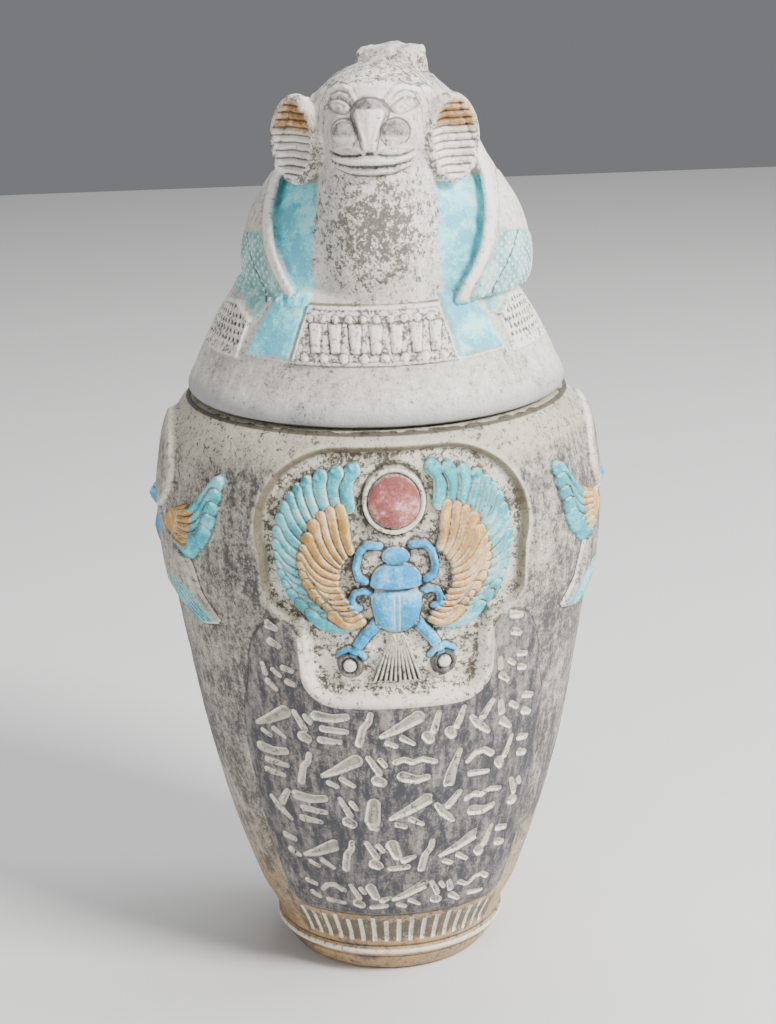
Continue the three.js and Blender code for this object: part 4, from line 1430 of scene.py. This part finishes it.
def skin_of(values: Array, low: Array, cell: float) -> tuple[Array, Array]:
    """The surface where a lattice of numbers passes 0, one point for each cell it runs through.

    A cell's point is the mean of the places where its edges cross 0, and every crossed edge makes
    a face of the four cells round it, turned so that it looks towards the positive side.

    Args:
        values: The numbers, on a lattice of three axes.
        low: The lattice's first corner.
        cell: The lattice's step.

    Returns:
        The points, and the faces of four.
    """
    cells = tuple(side - 1 for side in values.shape)
    count = np.zeros(cells)
    total = np.zeros((*cells, 3))
    crossings = []
    for axis in range(3):
        a = np.take(values, range(cells[axis]), axis)
        b = np.take(values, range(1, cells[axis] + 1), axis)
        crossed = (a < 0) != (b < 0)
        part = np.where(crossed, a / np.where(crossed, a - b, 1), 0)
        crossings.append((crossed, a < 0))
        one, two = (axis + 1) % 3, (axis + 2) % 3
        for du in (0, 1):
            for dv in (0, 1):
                window = [slice(None)] * 3
                window[one] = slice(du, du + cells[one])
                window[two] = slice(dv, dv + cells[two])
                here = crossed[tuple(window)]
                count += here
                total[..., axis] += part[tuple(window)]
                total[..., one] += du * here
                total[..., two] += dv * here
    used = count > 0
    number = np.cumsum(used.ravel()).reshape(cells) - 1
    corner = np.stack(np.nonzero(used), 1)
    points = low + cell * (corner + total[used] / count[used][:, None])
    faces = []
    for axis, (crossed, filled) in enumerate(crossings):
        one, two = (axis + 1) % 3, (axis + 2) % 3
        place = np.stack(np.nonzero(crossed), 1)
        place = place[(place[:, one] > 0) & (place[:, two] > 0)]
        place = place[(place[:, one] < cells[one]) & (place[:, two] < cells[two])]
        ring = []
        for du, dv in ((1, 1), (0, 1), (0, 0), (1, 0)):
            near = place.copy()
            near[:, one] -= du
            near[:, two] -= dv
            ring.append(number[tuple(near.T)])
        quad = np.stack(ring, 1)
        outward = filled[tuple(place.T)]
        faces.append(np.where(outward[:, None], quad, quad[:, ::-1]))
    return points, np.concatenate(faces)


# ---- Finishes ----

Input = Union[float, "Number", "Tint"]


class Number:
    """A socket that carries one number, with the sums that a finish is written in."""

    def __init__(self, bench: "Bench", socket: bpy.types.NodeSocket) -> None:
        """Keep the socket and the bench that makes its nodes."""
        self.bench = bench
        self.socket = socket

    def combine(self, kind: str, first: Input, second: Input) -> "Number":
        """A Math node of one kind on two numbers."""
        node = self.bench.node("ShaderNodeMath", {"operation": kind}, {0: first, 1: second})
        return Number(self.bench, node.outputs[0])

    def __add__(self, other: Input) -> "Number":
        """This plus another."""
        return self.combine("ADD", self, other)

    def __radd__(self, other: Input) -> "Number":
        """Another plus this."""
        return self.combine("ADD", other, self)

    def __sub__(self, other: Input) -> "Number":
        """This less another."""
        return self.combine("SUBTRACT", self, other)

    def __rsub__(self, other: Input) -> "Number":
        """Another less this."""
        return self.combine("SUBTRACT", other, self)

    def __mul__(self, other: Input) -> "Number":
        """This times another."""
        return self.combine("MULTIPLY", self, other)

    def __rmul__(self, other: Input) -> "Number":
        """Another times this."""
        return self.combine("MULTIPLY", other, self)

    def step(self, low: float, high: float) -> "Number":
        """0 where this is at low, 1 where it is at high, and soft between."""
        settings = {"interpolation_type": "SMOOTHSTEP"}
        ends = {1: min(low, high), 2: max(low, high), 3: float(low > high), 4: float(high > low)}
        sockets = {0: self, **ends}
        return Number(self.bench, self.bench.node("ShaderNodeMapRange", settings, sockets).outputs[0])


class Tint:
    """A socket that carries a colour."""

    def __init__(self, bench: "Bench", socket: bpy.types.NodeSocket) -> None:
        """Keep the socket and the bench that makes its nodes."""
        self.bench = bench
        self.socket = socket

    def under(self, paint: Union[Colour, "Tint"], cover: Input, kind: str = "MIX") -> "Tint":
        """This colour with a paint over it, as thick as its cover says."""
        return self.bench.blend(self, paint, cover, kind)


class Bench:
    """Makes one material's nodes."""

    def __init__(self, name: str) -> None:
        """Start an empty material with its output and its shader."""
        self.material = bpy.data.materials.new(name)
        self.material.use_nodes = True
        self.tree = self.material.node_tree
        self.tree.nodes.clear()
        output = self.tree.nodes.new("ShaderNodeOutputMaterial")
        self.shader = self.tree.nodes.new("ShaderNodeBsdfPrincipled")
        self.tree.links.new(self.shader.outputs[0], output.inputs["Surface"])
        self.place = self.node("ShaderNodeTexCoord", {}, {}).outputs["Object"]

    def node(self, kind: str, settings: dict[str, object], sockets: dict) -> bpy.types.Node:
        """Any node: its settings are made first, then its sockets are set or linked.

        Args:
            kind: The node's type.
            settings: Its own choices, by name.
            sockets: Values or links, by the socket's name or number.

        Returns:
            The node.
        """
        made = self.tree.nodes.new(kind)
        for name, value in settings.items():
            setattr(made, name, value)
        for key, value in sockets.items():
            self.plug(made.inputs[key], value)
        return made

    def plug(self, into: bpy.types.NodeSocket, value: object) -> None:
        """Link a socket where the value is one, and set it otherwise."""
        source = getattr(value, "socket", value)
        if isinstance(source, bpy.types.NodeSocket):
            self.tree.links.new(source, into)
        elif into.type == "RGBA":
            into.default_value = (*source, 1.0)
        else:
            into.default_value = source

    def blend(self, low: object, high: object, share: Input, kind: str = "MIX") -> Tint:
        """A mix of two colours."""
        settings = {"data_type": "RGBA", "blend_type": kind, "clamp_factor": True}
        node = self.node("ShaderNodeMix", settings, {0: share, 6: low, 7: high})
        return Tint(self, node.outputs[2])

    def noise(
        self, size: float, detail: float = 3.0, stretch: tuple = (1, 1, 1), rough: float = 0.55,
    ) -> Number:
        """Noise with lumps of a given size in millimetres, drawn out along each axis by stretch.

        Args:
            size: The lumps' size.
            detail: How many finer noises are added.
            stretch: How much longer the lumps are along each axis.
            rough: How strong the finer noises are.

        Returns:
            The noise, about 0.5 in the mean.
        """
        place = self.place
        if stretch != (1, 1, 1):
            scale = tuple(1 / value for value in stretch)
            longer = self.node("ShaderNodeVectorMath", {"operation": "MULTIPLY"}, {0: place, 1: scale})
            place = longer.outputs[0]
        sockets = {"Vector": place, "Scale": 1000 / size, "Detail": detail, "Roughness": rough}
        return Number(self, self.node("ShaderNodeTexNoise", {}, sockets).outputs[0])

    def mark(self, mark: Mark) -> Number:
        """One of the surface's marks."""
        node = self.node("ShaderNodeAttribute", {"attribute_name": mark.value}, {})
        return Number(self, node.outputs["Fac"])

    def height(self) -> Number:
        """The height above the foot, in millimetres."""
        parts = self.node("ShaderNodeSeparateXYZ", {}, {0: self.place})
        return Number(self, parts.outputs[2]) * 1000.0


@dataclass(frozen=True)
class StoneFinish:
    """Charcoal stone rubbed with pale dust, with thin worn paint on its carving, and painted light and shade
    on its carving's edges and grooves.
    """

    charcoal: Colour = (0.060, 0.056, 0.060)
    grey: Colour = (0.235, 0.215, 0.200)
    dust: Colour = (0.46, 0.42, 0.345)
    pale: Colour = (0.88, 0.83, 0.70)
    tan: Colour = (0.42, 0.25, 0.10)
    slate: Colour = (0.045, 0.046, 0.054)
    # Painted shade for the panel's upper walls, olive brown.
    upper_wall_shade: Colour = (0.10, 0.078, 0.035)
    # Dark specks and stains, also used for painted shade in recesses and under the chin.
    stain_and_shade: Colour = (0.085, 0.076, 0.060)
    band: Colour = (0.58, 0.53, 0.41)
    blue: Colour = (0.004, 0.30, 0.62)
    teal: Colour = (0.035, 0.36, 0.42)
    gold: Colour = (0.47, 0.26, 0.065)
    red: Colour = (0.25, 0.065, 0.06)
    # Near-black, for the floor's dark specks and for painted shade in grooves, recesses and gaps.
    dirt_and_shade: Colour = (0.024, 0.018, 0.011)
    dustiness: float = 0.57
    speckle: float = 0.22
    tan_top: float = 66.0
    band_start: float = 164.0
    band_full: float = 173.0
    paint_wear: float = 0.6
    paint_fade: float = 0.4

    def stone(self, bench: "Bench", tone: Number, mottle: Number, ridge: Number) -> Tint:
        """The bare stone: dark under, grey over it, then dust and pale rubbing, crisp at the edges.

        Args:
            bench: The material's bench.
            tone: The slow change of shade over the piece.
            mottle: The fine grain.
            ridge: How far a place stands out.

        Returns:
            Its colour.
        """
        share = tone + mottle * 0.7 + ridge * 0.12 + self.dustiness
        colour = bench.blend(self.charcoal, self.grey, (tone + mottle * 0.5).step(0.74, 0.94))
        colour = colour.under(self.dust, share.step(1.32, 1.52) * 0.9)
        return colour.under(self.pale, share.step(1.46, 1.72) * 0.75)

    def material(self, name: str) -> bpy.types.Material:
        """The finish as a material.

        Args:
            name: The material's name.

        Returns:
            The material, whose nodes read the piece's marks.
        """
        bench = Bench(name)
        cloud = bench.noise(42, 3)
        blotch = bench.noise(9, 4)
        streak = bench.noise(2.6, 5, (1, 1, 8), 0.65)
        mottle = bench.noise(2.2, 5, rough=0.7) * 0.55 + bench.noise(0.8, 3, rough=0.75) * 0.45
        height = bench.height()
        hollow = bench.mark(Mark.HOLLOW)
        # How deep a place lies in a hollow; used below for painted shade in recesses.
        recess = hollow.step(-0.08, -0.7)
        stain_and_shade = bench.mark(Mark.SMOKE).step(-1.6, 1.8)

        tone = cloud * 0.35 + blotch * 0.25 + streak * 0.25 + mottle * 0.15
        colour = self.stone(bench, tone, mottle, hollow.step(0.06, 0.45))
        band = height.step(self.band_start, self.band_full) * mottle.step(0.34, 0.5)
        colour = colour.under(self.band, band * 0.7)
        low = height.step(self.tan_top, 4.0)
        patchy = (blotch * 0.6 + streak * 0.3 + mottle * 0.3).step(0.42, 0.66)
        colour = colour.under(self.tan, low * patchy * 0.85)
        # Dark specks thicken in stains, in the painted shadow under the chin, and as painted shade in
        # recesses.
        density = stain_and_shade * 0.5 + recess * 0.15 + self.speckle
        dark = (density * 0.3 - mottle + 0.36).step(-0.03, 0.035)
        colour = colour.under(self.stain_and_shade, dark * 0.85)

        depth = bench.mark(Mark.FLOOR)
        floor_tint = bench.blend(self.dust, self.pale, (blotch * 0.5 + mottle * 0.6).step(0.46, 0.62))
        # Dark specks in the floor's pits, a little denser in recesses as painted shade.
        pits = (recess * 0.05 - mottle - blotch * 0.2 + 0.545).step(-0.03, 0.03)
        floor_tint = floor_tint.under(self.dirt_and_shade, pits * 0.85)
        # Painted shade: the panel's upper walls darkened to olive brown, as shadow from light above them.
        wall = depth.step(2.4, 1.2) * height.step(112, 140)
        floor_tint = floor_tint.under(self.upper_wall_shade, wall * (0.35 + mottle))
        colour = colour.under(floor_tint, depth.step(-0.3, 0.3))

        field_tint = bench.blend(self.slate, self.grey, (streak * 0.6 + mottle * 0.6).step(0.52, 0.74))
        pale_top = height.step(84, 118) * 0.12
        dusty = (cloud * 0.4 + streak * 0.4 + mottle * 0.5 + pale_top).step(0.66, 0.88)
        field_tint = field_tint.under(self.dust, dusty * 0.55)
        colour = colour.under(field_tint, bench.mark(Mark.SLATE).step(-0.25, 0.3))

        pale_patches = mottle.step(0.36, 0.5)
        # Cream dust, and the painted highlight on the panel's lower rim.
        colour = colour.under(self.pale, bench.mark(Mark.CREAM).step(-0.1, 0.3) * pale_patches * 0.8)
        wear = (mottle * 0.6 + blotch * 0.4).step(0.52, 0.62) * self.paint_wear
        paints = (
            (Mark.TEAL, self.teal), (Mark.GOLD, self.gold), (Mark.BLUE, self.blue), (Mark.RED, self.red),
        )
        for mark, paint in paints:
            reach = bench.mark(mark) + (blotch - 0.5) * (self.paint_fade * 4)
            light = tuple(min(1.0, part * 1.7 + 0.07) for part in paint)
            shade = bench.blend(paint, light, (blotch * 0.5 + mottle * 0.5).step(0.44, 0.58))
            # Painted shade: paint darkened in recesses.
            shade = shade.under(self.dirt_and_shade, recess * 0.55)
            colour = colour.under(shade, reach.step(-self.paint_fade, self.paint_fade) * (1.0 - wear))
        # Painted shade: near-black along the shade lines in grooves, round raised edges and at the joint.
        colour = colour.under(self.dirt_and_shade, bench.mark(Mark.SEAM).step(-0.12, 0.2) * 0.8)
        cut = bench.mark(Mark.CUT)
        colour = colour.under(self.pale, cut.step(-0.32, 0.0) * (1.0 - cut.step(0.3, 0.8) * 0.6) * pale_patches * 0.95)
        # Pale crest lines: a painted highlight on the feathers' upper edges, and pale lines on the rest of
        # the carving.
        colour = colour.under(self.pale, bench.mark(Mark.CREST).step(-0.15, 0.15) * pale_patches * 0.8)
        bench.plug(bench.shader.inputs["Base Color"], colour)
        bench.plug(bench.shader.inputs["Roughness"], 0.40 + mottle * 0.3)
        bump = bench.node("ShaderNodeBump", {}, {
            "Strength": 0.75, "Distance": 0.0008, "Height": mottle * 1.1 + blotch * 0.35,
        })
        bench.plug(bench.shader.inputs["Normal"], bump.outputs[0])
        bench.shader.inputs["Specular IOR Level"].default_value = 0.42
        return bench.material


# ---- The studio ----


LID_FINISH = StoneFinish(
    dust=(0.60, 0.56, 0.49), pale=(0.92, 0.88, 0.80), dustiness=0.71, speckle=0.10, tan_top=4.5,
    band=(0.26, 0.27, 0.30), band_start=188.0, band_full=181.0, blue=(0.13, 0.52, 0.66),
    teal=(0.18, 0.40, 0.38), gold=(0.33, 0.17, 0.05), paint_wear=0.7, paint_fade=0.9,
)


@dataclass
class Studio:
    """A pale floor, soft lights and the camera."""

    camera_place: tuple[float, float, float] = (-46.3, -698.6, 351.6)
    heading: float = -4.0
    pitch: float = 16.91
    roll: float = -1.49
    lens: float = 84.375

    def set_camera(self) -> None:
        """Stand the camera in front and a little above, looking down at the jar."""
        data = bpy.data.cameras.new("camera")
        data.lens = self.lens
        data.sensor_fit = "VERTICAL"
        data.sensor_height = 36.0
        data.clip_start = 0.05
        camera = bpy.data.objects.new("camera", data)
        turn = np.radians([90 - self.pitch, self.heading, self.roll])
        tilt, head, roll = (float(value) for value in turn)
        matrix = Matrix.Rotation(head, 4, "Z") @ Matrix.Rotation(tilt, 4, "X") @ Matrix.Rotation(roll, 4, "Z")
        camera.matrix_world = Matrix.Translation(Vector(self.camera_place) * MM) @ matrix
        bpy.context.scene.collection.objects.link(camera)
        bpy.context.scene.camera = camera

    def add_light(self, name: str, place: Sequence[float], size: float, power: float, tint: Colour) -> None:
        """A square soft light that looks at the jar's middle."""
        data = bpy.data.lights.new(name, "AREA")
        data.size, data.energy, data.color = size, power, tint
        light = bpy.data.objects.new(name, data)
        light.location = place
        aim = Vector((0, 0, 0.15)) - Vector(place)
        light.rotation_euler = aim.to_track_quat("-Z", "Y").to_euler()
        bpy.context.scene.collection.objects.link(light)

    def build(self) -> None:
        """The camera, four soft lights, an even pale surround and the floor."""
        self.set_camera()
        self.add_light("key", (0.85, -0.75, 1.0), 0.45, 42, (1.0, 0.985, 0.955))
        self.add_light("side", (1.1, 0.1, 0.55), 0.5, 10, (0.96, 0.97, 1.0))
        self.add_light("fill", (-0.8, -0.95, 0.5), 0.9, 6, (0.97, 0.98, 1.0))
        self.add_light("top", (0.1, 0.3, 1.1), 0.8, 8, (1.0, 1.0, 1.0))
        world = bpy.data.worlds.new("studio")
        world.use_nodes = True
        world.node_tree.nodes["Background"].inputs[0].default_value = (0.86, 0.88, 0.92, 1)
        world.node_tree.nodes["Background"].inputs[1].default_value = 0.22
        bpy.context.scene.world = world
        side = 1500.0
        corners = np.array([(-side, -side, 0), (side, -side, 0), (side, side, 0), (-side, side, 0)], float)
        floor = meshed("studio_floor", corners, [[0, 1, 2, 3]])
        bench = Bench("studio_paper")
        paper = bench.blend((0.72, 0.72, 0.71), (0.76, 0.76, 0.75), bench.noise(60))
        bench.plug(bench.shader.inputs["Base Color"], paper)
        bench.shader.inputs["Roughness"].default_value = 0.9
        dress(floor, bench.material)


def main() -> None:
    """Build the jar, the lid and the studio, and report each of them."""
    logging.basicConfig(level=logging.INFO, format="%(name)s: %(message)s")
    jar = Jar().build(StoneFinish())
    LOG.info("jar: %d vertices, %d faces", len(jar.data.vertices), len(jar.data.polygons))
    lid = Lid().build(LID_FINISH)
    LOG.info("lid: %d vertices, %d faces", len(lid.data.vertices), len(lid.data.polygons))
    Studio().build()
    LOG.info("studio: camera, four lights and the floor")
    bpy.context.view_layer.update()


if __name__ == "__main__":
    main()
